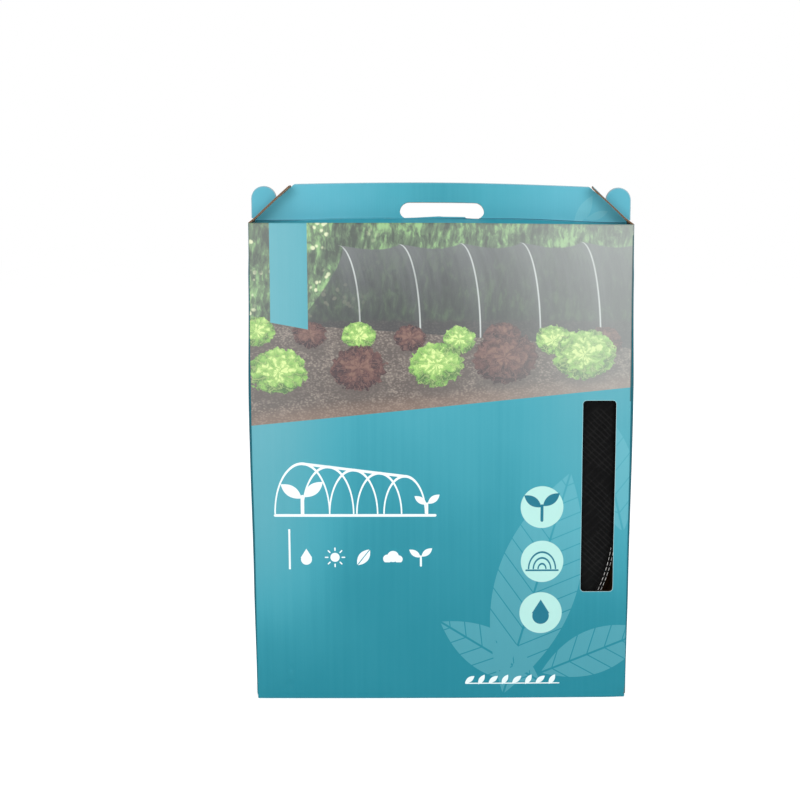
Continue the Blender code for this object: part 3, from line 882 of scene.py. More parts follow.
def hoop_line(top, pitch):
    """Points down the left leg, round the arch and up the right leg, as (x, z)."""
    straight = evenly(top, HOOP_CENTRE_Z, pitch * 3)
    left = [(-HOOP_RADIUS, z) for z in straight]
    round_part = arc(0.0, HOOP_CENTRE_Z, HOOP_RADIUS, 180, 360, round(math.pi * HOOP_RADIUS / pitch))
    right = [(HOOP_RADIUS, z) for z in reversed(straight)]
    return left + round_part[1:-1] + right


def add_ring(bm, middle, across, sides, radius_at):
    """A ring of vertices round a place on an upright line; radius_at gives the radius at a turn."""
    ring = []
    for side in range(sides):
        turn = 2 * math.pi * side / sides
        radius = radius_at(turn)
        offset = across * math.cos(turn) * radius + Vector((0, math.sin(turn) * radius, 0))
        ring.append(bm.verts.new(middle + offset))
    return ring


def join_rings(bm, rings):
    """Faces between rings, and a cap at each end."""
    sides = len(rings[0])
    for near, far in zip(rings, rings[1:]):
        for side in range(sides):
            other = (side + 1) % sides
            bm.faces.new((near[side], near[other], far[other], far[side]))
    bm.faces.new(rings[0][::-1])
    bm.faces.new(rings[-1])


def tube(name, line_points, radii, place_y, material, node):
    """A closed round tube along a line in an upright plane; radii gives the radius at a ring and a turn."""
    bm = bmesh.new()
    rings = []
    for index, (x, z) in enumerate(line_points):
        before = Vector(line_points[max(0, index - 1)])
        after = Vector(line_points[min(len(line_points) - 1, index + 1)])
        run = (after - before).normalized()
        rings.append(add_ring(bm, Vector((x, place_y, z)), Vector((-run.y, 0.0, run.x)), TUBE_SIDES,
                              partial(radii, index)))
    join_rings(bm, rings)
    bmesh.ops.recalc_face_normals(bm, faces=bm.faces[:])
    finish_piece(name, bm, [material], node, "carton", sharp=60)


def make_hoops():
    """Six wire hoops with tapered points."""
    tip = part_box("hoop_1")[1].z
    body = hoop_line(tip - HOOP_POINT, HOOP_PITCH)
    taper = [tip, tip - HOOP_TIP, tip - HOOP_POINT / 2]
    points = [(-HOOP_RADIUS, z) for z in taper] + body + [(HOOP_RADIUS, z) for z in reversed(taper)]
    shares = POINT_SHARES + [1.0] * len(body) + POINT_SHARES[::-1]
    for number, place_y in enumerate(HOOP_PLACES, start=1):
        tube(f"wire_hoop_{number}", points, lambda index, turn: WIRE_RADIUS * shares[index], place_y,
             steel, f"hoop_{number}")


def make_sleeves():
    """The net sleeve round each hoop, drawn in at the stitching and at its two ends."""
    points = hoop_line(NET_TOP - SLEEVE_HEM, SLEEVE_PITCH)
    points = [(-HOOP_RADIUS, NET_TOP)] + points + [(HOOP_RADIUS, NET_TOP)]
    draw = random.Random(4)
    for number, place_y in enumerate(HOOP_PLACES, start=1):
        lumps = [draw.uniform(*SLEEVE_LUMPS) for _ in points]
        waves = [draw.uniform(0, 2 * math.pi) for _ in range(3)]

        def radii(index, turn):
            if index in (0, len(points) - 1):
                return WIRE_RADIUS + SLEEVE_MOUTH
            ruck = SLEEVE_RUCKS[0] * math.sin(index * 0.9 + waves[0] + turn)
            ruck += SLEEVE_RUCKS[1] * math.sin(index * 0.37 + waves[1])
            return SLEEVE_RADIUS - SLEEVE_DRAWN + lumps[index] * 0.5 + ruck

        tube(f"net_sleeve_{number}", points, radii, place_y, hem, f"hoop_sleeve_{number}")


def stitch_place(radius, place):
    """Middle and direction of a stitch at a place along a row, down a leg, round the arch and up."""
    leg, round_part = NET_TOP - HOOP_CENTRE_Z, math.pi * radius
    if place < leg:
        return Vector((-radius, 0, NET_TOP - place)), Vector((0, 0, -1))
    if place < leg + round_part:
        turn = math.pi + (place - leg) / radius
        cos, sin = math.cos(turn), math.sin(turn)
        return Vector((radius * cos, 0, HOOP_CENTRE_Z + radius * sin)), Vector((-sin, 0, cos))
    return Vector((radius, 0, HOOP_CENTRE_Z + place - leg - round_part)), Vector((0, 0, 1))


def make_stitches():
    """Two rows of white stitches on each sleeve, on the side that faces out of the stack."""
    depth = math.sqrt((SLEEVE_RADIUS + STITCH_PROUD) ** 2 - STITCH_OFFSET ** 2)
    for number, place_y in enumerate(HOOP_PLACES, start=1):
        bm = bmesh.new()
        facing = -1 if place_y < 0 else 1
        for offset, shift in ((-STITCH_OFFSET, 0.7), (STITCH_OFFSET, 0.3)):
            radius = HOOP_RADIUS + offset
            row = 2 * (NET_TOP - HOOP_CENTRE_Z) + math.pi * radius
            for index in range(int((row - STITCH_LENGTH) / STITCH_PITCH)):
                place = (index + shift) * STITCH_PITCH + STITCH_LENGTH / 2
                centre, run = stitch_place(radius, place)
                centre.y = place_y + facing * depth
                add_stitch(bm, centre, run, facing)
        bmesh.ops.recalc_face_normals(bm, faces=bm.faces[:])
        finish_piece(f"stitching_{number}", bm, [thread], None, "carton", sharp=80)


def add_stitch(bm, centre, run, facing):
    """One stitch: a short round thread whose ends dip into the net."""
    rings = []
    for share, radius_share, dip_share in STITCH_SHAPE:
        middle = centre + run * STITCH_LENGTH * share - Vector((0, facing * STITCH_RADIUS * dip_share, 0))
        rings.append(add_ring(bm, middle, run.cross(Vector((0, 1, 0))), 6,
                              lambda turn: STITCH_RADIUS * radius_share))
    join_rings(bm, rings)


# Net


def folded_net(name, depths, grid, node, spread=None):
    """A net folded at top and foot; at (x, z) depths gives each upright layer's y, and spread its x."""
    columns, rows = grid
    bm = bmesh.new()
    lines = []
    for column in range(columns + 1):
        angle = math.pi * (column / columns - 0.5)
        x = NET_RADIUS * math.sin(angle)
        low = HOOP_CENTRE_Z - NET_RADIUS * math.cos(angle) + FOLD_REACH
        heights = [low + (NET_TOP - FOLD_REACH - low) * row / rows for row in range(rows + 1)]
        points = []
        for layer, depth in enumerate(depths):
            rising = layer % 2 == 0
            for z in heights if rising else reversed(heights):
                points.append(Vector((x, depth(x, z), z)))
            if layer + 1 < len(depths):
                end, reach = (heights[-1], FOLD_REACH) if rising else (heights[0], -FOLD_REACH)
                near, far = depth(x, end), depths[layer + 1](x, end)
                for turn in (math.pi / 4, math.pi / 2, math.pi * 3 / 4):
                    y = (near + far) / 2 + (near - far) / 2 * math.cos(turn)
                    points.append(Vector((x, y, end + reach * math.sin(turn))))
        if spread:
            points = [Vector((spread(point.x, point.z), point.y, point.z)) for point in points]
        lines.append([bm.verts.new(point) for point in points])
    for near, far in zip(lines, lines[1:]):
        for step in range(len(near) - 1):
            bm.faces.new((near[step], far[step], far[step + 1], near[step + 1]))
    piece = finish_piece(name, bm, [net], node, "carton", sharp=80)
    solidify = piece.modifiers.new("Net thickness", "SOLIDIFY")
    solidify.thickness = NET_THICKNESS
    solidify.offset = 0.0


def net_edge(x, z):
    """How far a place on the net is from the hoop's sleeve."""
    if z < HOOP_CENTRE_Z:
        return NET_RADIUS - math.hypot(x, z - HOOP_CENTRE_Z)
    return NET_RADIUS - abs(x)


def make_bays():
    """Five bays of net, each in three layers between two hoops."""
    for number in range(1, 6):
        middle = (HOOP_PLACES[number - 1] + HOOP_PLACES[number]) / 2
        draw = random.Random(number)
        phases = [draw.uniform(0, 2 * math.pi) for _ in range(4)]

        def wave(layer, x, z):
            pleat = math.sin(2 * math.pi * x / 0.048 + 1.3 * math.sin(z * 14 + phases[0]) + phases[1])
            fine = math.sin(2 * math.pi * x / 0.019 + 2.0 * math.sin(z * 23 + phases[2]) + phases[3])
            ripple = smooth(net_edge(x, z), 0.0, BAY_EDGE) * (BAY_PLEAT * pleat + BAY_RIPPLE * fine)
            return middle + (layer - 1) * BAY_LAYER_PITCH + ripple

        depths = [partial(wave, layer) for layer in range(3)]
        folded_net(f"net_bay_fold_{number}", depths, BAY_GRID, f"net_bay_{number}")


def end_fold(x, z):
    """Height of the gathered end's upright folds, from 0 in a valley to 1 on a crest."""
    sway = 0.006 * math.sin(z * 9.0 + 0.4) + 0.003 * math.sin(z * 31.0)
    wide = 0.5 + 0.5 * math.cos(2 * math.pi * (x + sway - 0.186) / 0.040)
    fine = 0.5 + 0.5 * math.cos(2 * math.pi * (x + 1.7 * sway) / 0.0135 + 1.0)
    valley = math.exp(-((x - 0.2005 + 0.02 * (0.385 - z)) / 0.0042) ** 2) * smooth(z, 0.330, 0.372)
    return max(0.0, 0.30 + 0.45 * wide + 0.25 * fine - 1.3 * valley)


def sleeve_cover(x, z):
    """Where the gathered ends hang over their sleeves' stitching: up both legs, above the arch."""
    return smooth(z, COVER_LOW, COVER_HIGH) * smooth(abs(x), NET_RADIUS - COVER_WIDTH, NET_RADIUS)


def cover_spread(x, z):
    """Where a gathered end stands across, once it reaches over its sleeve."""
    return x + math.copysign(COVER_REACH * sleeve_cover(x, z), x)


def make_net_ends():
    """The two gathered ends, each in two layers, with folds that hang from the top."""
    for side, facing in (("front", -1), ("back", 1)):
        def outer(x, z):
            edge = max(smooth(net_edge(x, z), 0.0, END_EDGE), COVER_SHARE * sleeve_cover(x, z))
            crest = END_CREST - END_VALLEY * (1 - end_fold(x, z)) * (1 - sleeve_cover(x, z))
            return facing * (END_BACK + (crest - END_BACK) * edge + 0.0001)

        def inner(x, z):
            edge = smooth(net_edge(x, z), 0.0, END_EDGE)
            return facing * (END_BACK - END_INNER_GAP - 0.0006 * edge + 0.0004 * math.sin(x * 210) * edge)

        folded_net(f"net_end_fold_{side}", [outer, inner], END_GRID, f"net_end_{side}",
                   cover_spread)


# Materials: each look gives the inputs of its Principled shader


def net_look(tree, lit, dark):
    """Black knitted net: fine upright loops and fainter slanted ribs."""
    place = object_place(tree)
    x, _, z = split(place)
    along = (z + x * 0.95) * (2 * math.pi / 0.0072)
    across = (z - x * 0.9) * (2 * math.pi / 0.0125)
    cloud = noise(place, 60.0)
    wander = cloud * 3.0
    ribs = (along + wander).math("SINE").step(0.1, 1.0) * noise(place, 28.0, 1.0).step(0.42, 0.60)
    cross = (across + wander).math("SINE").step(0.4, 1.0) * 0.4
    mesh_cells = cells(place, 900.0).step(0.1, 0.7)
    share = (ribs + cross) * 0.5 + (cloud - 0.5) * 0.8 + mesh_cells * 0.25
    return {"Base Color": mix(share.step(0.0, 1.0), dark, lit), "Roughness": 0.86, "Specular IOR Level": 0.08,
            "Sheen Weight": 0.05, "Sheen Roughness": 0.4,
            "Normal": bump(ribs * 0.4 + mesh_cells * 0.6, 0.0003, 0.5)}


def steel_look(tree):
    """Galvanised wire: dull grey with faint spangle and fine marks."""
    place = object_place(tree)
    cloud = noise(place, 90.0)
    share = cells(place, 350.0).step(0.2, 0.8) * 0.6 + cloud * 0.4
    return {"Base Color": mix(share, (0.30, 0.31, 0.32), (0.52, 0.53, 0.54)), "Metallic": 0.9,
            "Roughness": cloud.step(0.3, 0.7, 0.36, 0.52), "Normal": bump(noise(place, 1400.0), 0.00004, 0.4)}


def thread_look(tree):
    """White polyester thread with a fine twist."""
    twist = noise(object_place(tree), 2600.0, 1.0)
    return {"Base Color": mix(twist, (0.62, 0.60, 0.57), (0.88, 0.87, 0.84)), "Roughness": 0.6,
            "Normal": bump(twist, 0.00005, 0.5)}


def flute_ripple(u):
    """The faint upright ripple that the flutes print through on a board's faces."""
    return (u * (2 * math.pi / FLUTE_PITCH)).math("SINE")


def kraft_look(tree):
    """Bare kraft paper with fibres and the flutes' faint ripple."""
    u, v = board_uv(tree)
    long_fibres = noise(vector(u * 0.35, v), 900.0, 4.0, 0.6)
    share = (long_fibres + noise(vector(u, v), 25.0)) * 0.5
    return {"Base Color": mix(share.step(0.3, 0.7), KRAFT_DARK, KRAFT_LIGHT), "Roughness": 0.88,
            "Normal": bump(long_fibres * 0.5 + flute_ripple(u) * 0.15, 0.00012, 0.5)}


def raw_edge_look(tree):
    """The cut edge of the board: two brown liners with a wavy flute between, and the hollows between them
    painted dark as shade.
    """
    run, depth = board_uv(tree)
    flute = abs(depth - (flute_ripple(run) * 0.34 + 0.5)).step(0.06, 0.15, 1.0, 0.0)
    solid = union(flute, abs(depth - 0.5).step(0.36, 0.42))
    paper = mix(noise(vector(run, depth * 0.002), 1800.0), KRAFT_DARK, EDGE_PALE)
    return {"Base Color": mix(solid, EDGE_HOLLOW_SHADE, paper), "Roughness": 0.9,
            "Normal": bump(solid, 0.0004, 0.6)}


def length(across, up):
    """Length of a way across and up."""
    return (across * across + up * up).math("SQRT")


def positive(value):
    """The value, or 0 where it is negative."""
    return value.math("MAXIMUM", 0.0)


def within(distance, limit, soft=SOFT):
    """1 where a distance is below a limit, with a soft edge."""
    return distance.step(limit - soft, limit + soft, 1.0, 0.0)


def away(x, z, centre_x, centre_z):
    """Distance from a point."""
    return length(x - centre_x, z - centre_z)


def turned(x, z, centre_x, centre_z, degrees):
    """Places along and across a direction from a point."""
    cos, sin = math.cos(math.radians(degrees)), math.sin(math.radians(degrees))
    across, up = x - centre_x, z - centre_z
    return across * cos + up * sin, up * cos - across * sin


def line(x, z, start, end, half):
    """A round-ended stroke."""
    run = Vector(end) - Vector(start)
    along, across = turned(x, z, *start, math.degrees(math.atan2(run.y, run.x)))
    return within(length(positive(abs(along - run.length / 2) - run.length / 2), across), half)


def between(x, low, high):
    """1 between two places."""
    return within(abs(x - (low + high) / 2), (high - low) / 2)


def leaf(x, z, centre_x, centre_z, size, width, degrees):
    """A pointed leaf, and places along and across it."""
    along, across = turned(x, z, centre_x, centre_z, degrees)
    share = along * (2 / size)
    return within(abs(across) + share * share * (width / 2), width / 2), along, across


def union(*shapes):
    """Where any of the shapes is."""
    return reduce(lambda whole, shape: whole.math("MAXIMUM", shape), shapes)


def seedling(x, z, centre, foot, size):
    """A sprout with two leaves."""
    left = leaf(x, z, centre - 0.34 * size, foot + 0.72 * size, 0.78 * size, 0.34 * size, 145)[0]
    right = leaf(x, z, centre + 0.34 * size, foot + 0.78 * size, 0.78 * size, 0.34 * size, 38)[0]
    return union(left, right, line(x, z, (centre, foot), (centre, foot + 0.55 * size), 0.055 * size))


def arch(x, z, centre, foot, half_width, height, half):
    """A hoop's outline above a ground line, as an ellipse."""
    up = z - foot
    distance = length((x - centre) * (height / half_width), up) - height
    return within(abs(distance), half) * up.step(-SOFT, SOFT)


def title_sign(x, z):
    """A white line drawing of a hooped tunnel with two seedlings."""
    first, height = TITLE_LEFT + 34, TITLE_TOP - TITLE_FOOT
    hoops = [arch(x, z, first + 32 * index, TITLE_FOOT, 34 - 2 * index, height - 4 * index, TITLE_STROKE)
             for index in range(5)]
    others = union(*hoops[1:]) * (x - first).step(-SOFT, SOFT)
    ridge = line(x, z, (first, TITLE_TOP), (TITLE_LEFT + 162, TITLE_TOP - 16), TITLE_STROKE)
    ground = line(x, z, (TITLE_LEFT, TITLE_FOOT - 2), (TITLE_RIGHT, TITLE_FOOT - 2), TITLE_STROKE)
    plants = (seedling(x, z, first, TITLE_FOOT, 40), seedling(x, z, TITLE_RIGHT - 10, TITLE_FOOT, 24))
    return union(hoops[0], others, ridge, ground, *plants)


def small_icons(x, z):
    """A drop, a sun, a leaf, a cloud and a sprout in a row."""
    first, pitch, middle = ICON_ROW
    drop_x, sun_x, leaf_x, cloud_x, sprout_x = [first + pitch * index for index in range(5)]
    sun = [within(away(x, z, sun_x, middle), 5.8)]
    for turn in (math.radians(45 * index) for index in range(8)):
        cos, sin = math.cos(turn), math.sin(turn)
        ends = [(sun_x + reach * cos, middle + reach * sin) for reach in (9, 12)]
        sun.append(line(x, z, *ends, 0.8))
    blade, _, across = leaf(x, z, leaf_x, middle, 26, 13, 52)
    puffs = ((-6, -2, 5.5), (1, 1, 7.2), (8, -2.5, 5.0))
    cloud = union(*[within(away(x, z, cloud_x + right, middle + up), radius) for right, up, radius in puffs])
    cloud = cloud * (z - (middle - 6.5)).step(-SOFT, SOFT)
    return union(drop_sign(x, z, drop_x, middle, 11.0), *sun, blade * (1.0 - within(abs(across), 0.55)),
                 cloud, seedling(x, z, sprout_x, middle - 11, 22))


def drop_sign(x, z, centre, middle, size):
    """A water drop."""
    low = away(x, z, centre, middle - 0.25 * size)
    up = z - (middle - 0.05 * size)
    cone = within(abs(x - centre) + up * 0.62, 0.66 * size) * up.step(-SOFT, SOFT)
    return union(within(low, 0.62 * size), cone * (z - (middle + 1.05 * size)).step(-SOFT, SOFT, 1.0, 0.0))


def badge_icons(x, z):
    """A pair of leaves, three nested hoops and a drop."""
    (leaf_x, leaf_z), (hoop_x, hoop_z), (drop_x, drop_z) = BADGES
    sprout = seedling(x, z, leaf_x, leaf_z - 17, 34)
    hoops = [arch(x, z, hoop_x, hoop_z - 10, 5.0 + 6.0 * index, 7.0 + 7.5 * index, 1.2) for index in range(3)]
    ground = line(x, z, (hoop_x - 20, hoop_z - 11.5), (hoop_x + 20, hoop_z - 11.5), 1.1)
    return union(sprout, *hoops, ground, drop_sign(x, z, drop_x, drop_z, 17))


def leaf_row(x, z):
    """A small row of leaves along a stem."""
    first, pitch, count, middle = LEAF_ROW
    stem = line(x, z, (first - 5, middle - 5), (first + pitch * (count - 0.4), middle - 5), 0.7)
    leaves = [leaf(x, z, first + pitch * index, middle, 15, 6.4, 58 if index % 2 else 38)[0]
              for index in range(count)]
    return union(stem, *leaves)


def large_leaves(x, z):
    """Big tone on tone leaves with a midrib and side veins."""
    shapes = []
    for layout in LARGE_LEAVES:
        blade, along, across = leaf(x, z, *layout)
        slant = (along - abs(across) * 0.8) * (1 / 24.0)
        veins = within(abs(slant.math("FRACT") - 0.5), 0.035, 0.015)
        shapes.append(blade * (1.0 - union(within(abs(across), 1.3, 0.5), veins)))
    return union(*shapes)


def window_rim_and_highlight(x, z):
    """The pale torn fibres round the window's cut edge, with a painted highlight where the rounded print edge
    catches light.
    """
    middle, half = (WINDOW_LOW + WINDOW_HIGH) * 500.0, (WINDOW_HIGH - WINDOW_LOW) * 500.0
    corner = WINDOW_CORNER * 1000.0
    across = positive(abs(x - middle.x) - (half.x - corner))
    up = positive(abs(z - middle.y) - (half.y - corner))
    return (length(across, up) - corner).step(0.2, 0.9, 0.75, 0.0)


def foliage(x, z):
    """Out of focus bushes with a few blossoms."""
    place = vector(x, z)
    sway = noise(place, 0.05, 2.0) * 9.0
    clumps = noise(place, 0.022, 3.0)
    blades = noise(vector(x + sway, z * 0.35 + sway), 0.16, 4.0, 0.62)
    share = (clumps * 0.55 + blades * 0.75 - 0.15).step(0.30, 0.72)
    colour = mix(share.step(0.0, 0.55), FOLIAGE_DARK, FOLIAGE_MID)
    colour = mix(share.step(0.45, 1.0), colour, FOLIAGE_LIGHT)
    spots = cells(vector(x + sway, z), 0.115)
    blossoms = within(spots, 0.30, 0.09) * clumps.step(0.46, 0.56) * x.step(-150.0, -60.0, 1.0, 0.0)
    return mix(blossoms * 0.85, colour, BLOSSOM)


def soil(x, z, above_edge):
    """Crumbly earth."""
    place = vector(x, z * 1.5)
    crumbs = cells(place, 0.32).step(0.1, 0.75, 1.0, 0.0)
    share = noise(place, 0.055, 5.0, 0.65) * 0.8 + crumbs * 0.3 - 0.1
    colour = mix(share.step(0.25, 0.75), SOIL_DARK, SOIL_LIGHT)
    return mix(above_edge.step(0.0, 26.0, 0.55, 0.0), colour, SOIL_RED)


def printed_tunnel(x, z, behind):
    """A long netted tunnel on five hoops, seen from its side, with its left end tied down."""
    left, pitch, lean = -100.0, 74.0, 26.0
    foot = x * -0.07 + 467.0
    height = x * 0.09 + 112.0
    share = positive((z - foot) / height)
    under = positive(1.0 - share * share).math("SQRT")
    place = (x - left + (1.0 - under) * lean) * (1 / pitch)
    arc_share = (place.math("FRACT") * math.pi).math("SINE")
    roof = within(share + arc_share * 0.055, 1.0, 0.008)
    skirt = within(share - place * 0.92, 0.98, 0.015)
    body = union(roof * place.step(-0.01, 0.01), skirt * roof * place.step(-1.05, -1.0)) * z.step(0.0, 1.0)
    body = body * (z - foot).step(-0.5, 0.5)
    mesh = noise(vector(x + z * 0.4, z - x * 0.3), 1.1, 2.0)
    folds = noise(vector(place * 9.0, share * 1.1), 1.0, 4.0, 0.6)
    light = share * 0.62 + folds * 0.5 + (mesh - 0.5) * 0.4 - arc_share * 0.16
    net_colour = mix(light.step(0.15, 1.05), NET_DARK, NET_LIGHT)
    net_colour = mix(light.step(0.0, 1.1, 0.82, 0.97), behind, net_colour)
    near_hoop = abs(place - place.math("ROUND")) * pitch
    hoops = within(near_hoop, 0.9, 0.5) * place.step(-0.2, -0.1) * folds.step(0.3, 0.6, 0.45, 0.9)
    return mix(body, behind, mix(hoops, net_colour, HOOP_LINE))


def lettuce_row(pitch, shift, foot, slope, radius, x, z, behind):
    """A row of frilly lettuces, green and red by turns."""
    place = (x + shift) * (1 / pitch)
    cell = place.math("FLOOR")
    chance = abs(((cell * 12.9898).math("SINE") * 43.758).math("FRACT"))
    local_x = place.math("FRACT") * pitch - pitch / 2 + (chance - 0.5) * (pitch * 0.12)
    local_z = z - (x * slope + foot) - chance * 4.0
    size = chance * (radius * 0.16) + radius * 0.9
    ruffle = noise(vector(x, z, cell * 7.0), 0.16, 3.0, 0.6)
    wide = length(local_x, local_z * 1.22) + (ruffle - 0.5) * (radius * 0.55)
    body = within(wide - size, 0.0, 0.7)
    petals = vector(local_z.math("ARCTAN2", local_x) * 2.4, wide * 0.16, cell)
    shade = cells(petals, 1.0).step(0.15, 0.85) * 0.55 + (wide / size).step(0.2, 1.05) * 0.35
    shade = shade + local_z.step(-radius, radius * 0.2, 0.38, 0.0) + (ruffle - 0.5) * 0.5
    green = mix(shade.step(0.10, 0.50), HEART_GREEN, LEAF_GREEN)
    green = mix(shade.step(0.45, 1.0), green, SHADE_GREEN)
    red = mix(shade.step(0.10, 0.50), HEART_RED, LEAF_RED)
    red = mix(shade.step(0.35, 0.85), red, SHADE_RED)
    odd = (cell * 0.5).math("FRACT").step(0.2, 0.3)
    frill = cells(petals, 1.0, "DISTANCE_TO_EDGE").step(0.0, 0.09, 0.40, 0.0)
    colour = mix(frill, mix(odd, green, red), mix(odd, HEART_GREEN, FRILL_RED))
    gloom = length(local_x, (local_z + radius * 0.62) * 2.2).step(radius * 0.5, radius * 1.35, 0.75, 0.0)
    return mix(body, mix(gloom, behind, SOIL_DARK), colour)


def picture(x, z, above_edge, light):
    """The printed picture: a tunnel between bushes and two rows of lettuces, faded towards pale by painted
    glare.
    """
    ragged = noise(vector(x, z), 0.11, 3.0) * 9.0
    earth = in_group("printed earth", soil, x, z, above_edge)
    bushes = in_group("printed bushes", foliage, x, z)
    colour = mix((z + ragged).step(486.0, 493.0), earth, bushes)
    colour = in_group("printed tunnel", printed_tunnel, x, z, colour)
    for name, layout in LETTUCE_ROWS.items():
        colour = in_group(name, partial(lettuce_row, *layout), x, z, colour)
    return mix(glare_fade(x, light), colour, GLARE_PALE)


def glare_fade(x, light):
    """How far painted glare fades the picture: with the print's painted glare, and towards its right end."""
    return light * 0.16 + x.step(-60.0, 240.0, 0.0, 0.26)


def teal_ground(u, v, light, pale=TEAL_PALE):
    """The print's teal between its deep and a pale tone, with soft patches and faint upright streaks; light
    pales it, as a constant on plain boards and as painted glare where it varies over a face.
    """
    patch = noise(vector(u, v), 5.0, 2.0)
    streaks = noise(vector(u, v * 0.02), 160.0, 3.0)
    share = (patch - 0.5) * 0.22 + (streaks - 0.5) * 0.10 + light
    colour = mix(share.step(0.0, 0.32), TEAL_DEEP, TEAL_MID)
    return mix(share.step(0.12, 1.0), colour, pale)


def front_painted_glare(x, z):
    """Painted glare: how far the front's teal is painted paler, as if washed out by glare; it fades out
    upwards and towards the upright edges.
    """
    left = x.step(-232.0, -90.0, 1.0, 0.0) * z.step(10.0, 270.0)
    right = x.step(60.0, 225.0) * z.step(90.0, 330.0)
    return z.step(40.0, 640.0, 0.05, 0.42) + left * 0.42 + right * 0.28


def printed(colour, u, v, gloss=0.25, roughness=0.47):
    """A printed face: its colour, soft gloss and faint ripple."""
    place = vector(u, v)
    wear = noise(place, 45.0).step(0.3, 0.7, roughness - 0.05, roughness + 0.05)
    height = flute_ripple(u) * 0.5 + noise(place, 300.0) * 0.5
    return {"Base Color": colour, "Specular IOR Level": gloss, "Roughness": wear,
            "Normal": bump(height, 0.00005, 0.3)}


def teal_look(tree):
    """Plain teal print, as on the top and bottom."""
    u, v = board_uv(tree)
    return printed(teal_ground(u, v, 0.18), u, v, 0.08, 0.62)


def strip_look(tree):
    """The front strip's print: the picture runs on over most of its bend, and the rest is plain teal, paler
    than the plain teal on the other boards. The bushes and the tab's teal on the bend are paled by the
    front's painted glare.
    """
    u, v = board_uv(tree)
    up = v + (TOP - CREASE_RADIUS)
    x, z = u * 1000.0, up * 1000.0
    # light is the front's painted glare, which pales the bushes and the tab's teal here
    light = in_group("front painted glare", front_painted_glare, x, z)
    bushes = mix(glare_fade(x, light), in_group("printed bushes", foliage, x, z), GLARE_PALE)
    rim = mix(between(x, TAB[0], TAB[1]), bushes, teal_ground(u, up, light))
    past = (v - u.step(-0.20, -0.10, *CREASE_PRINT)).step(-0.0001, 0.0001)
    return printed(mix(past, rim, teal_ground(u, v, 0.26)), u, v, 0.08, 0.62)


def side_look(tree):
    """The two side walls' teal, painted darker than the front's teal as shade on the sides."""
    u, v = board_uv(tree)
    streaks = noise(vector(u, v * 0.05), 90.0, 3.0)
    return printed(mix(streaks, TEAL_SIDE_SHADE, TEAL_SIDE_SHADE_PALE), u, v, 0.05, 0.7)


def handle_look(tree):
    """The teal print of the handle's plies, with painted glare that pales them towards their ends and a
    painted shade line in the crease at their foot.
    """
    u, v = board_uv(tree)
    x, z = u * 1000.0, v * 1000.0
    # Painted glare: the plies' teal is painted paler towards their ends
    light = abs(u).step(0.0, 0.20, 0.22, 0.80)
    leaves = in_group("handle leaves", handle_leaves, x, z)
    colour = mix(leaves * 0.4, teal_ground(u, v, light, TEAL_HANDLE), TEAL_MOTIF)
    # Painted shade: the crease at the ply's foot is darkened as the shadow of its gap to the strip, weaker at
    # the left middle
    weak = u.step(-0.19, -0.15) * u.step(-0.02, 0.03, 1.0, 0.0)
    crease = v.step(0.0004, 0.0007) * v.step(0.0013, 0.0021, 1.0, 0.0) * (1.0 - weak * 0.6)
    colour = mix(crease, colour, TEAL_CREASE_SHADE)
    return printed(mix(in_group("ply rim", ply_rim, x, z), colour, PLY_RIM), u, v)


def ply_rim(x, z):
    """The pale fibres along the cut edges of a ply's top and of its ears."""
    radius, top = EAR_WIDTH * 500.0, PLY_HEIGHT * 1000.0
    across = abs(x) - ((HALF_WIDTH - EAR_OUTER_INSET) * 1000.0 - radius)
    outside = length(across, positive(z - (EAR_TOP * 1000.0 - radius))) - radius
    inner = z.step(26.0, 28.0) * across.step(-0.5 - radius, 0.2 - radius)
    ear = outside.step(-1.3, -0.5, 0.0, 0.55) * union(across.step(0.0, 1.0), inner)
    return union(ear, z.step(top - 1.0, top - 0.4, 0.0, 0.35))


def handle_leaves(x, z):
    """Two small leaves at the right end of the handle."""
    return union(leaf(x, z, 176.0, 16.0, 46.0, 15.0, 62)[0], leaf(x, z, 192.0, 10.0, 30.0, 11.0, 20)[0])


def back_look(tree):
    """The back's teal print with large leaves, paled by the same painted glare as the front."""
    u, v = board_uv(tree)
    x, z = u * 1000.0, v * 1000.0
    # Painted glare: the front's glare pattern pales the back's teal as well
    teal = teal_ground(u, v, in_group("front painted glare", front_painted_glare, x, z))
    return printed(mix(in_group("large leaves", large_leaves, x, z) * 0.35, teal, TEAL_MOTIF), u, v)


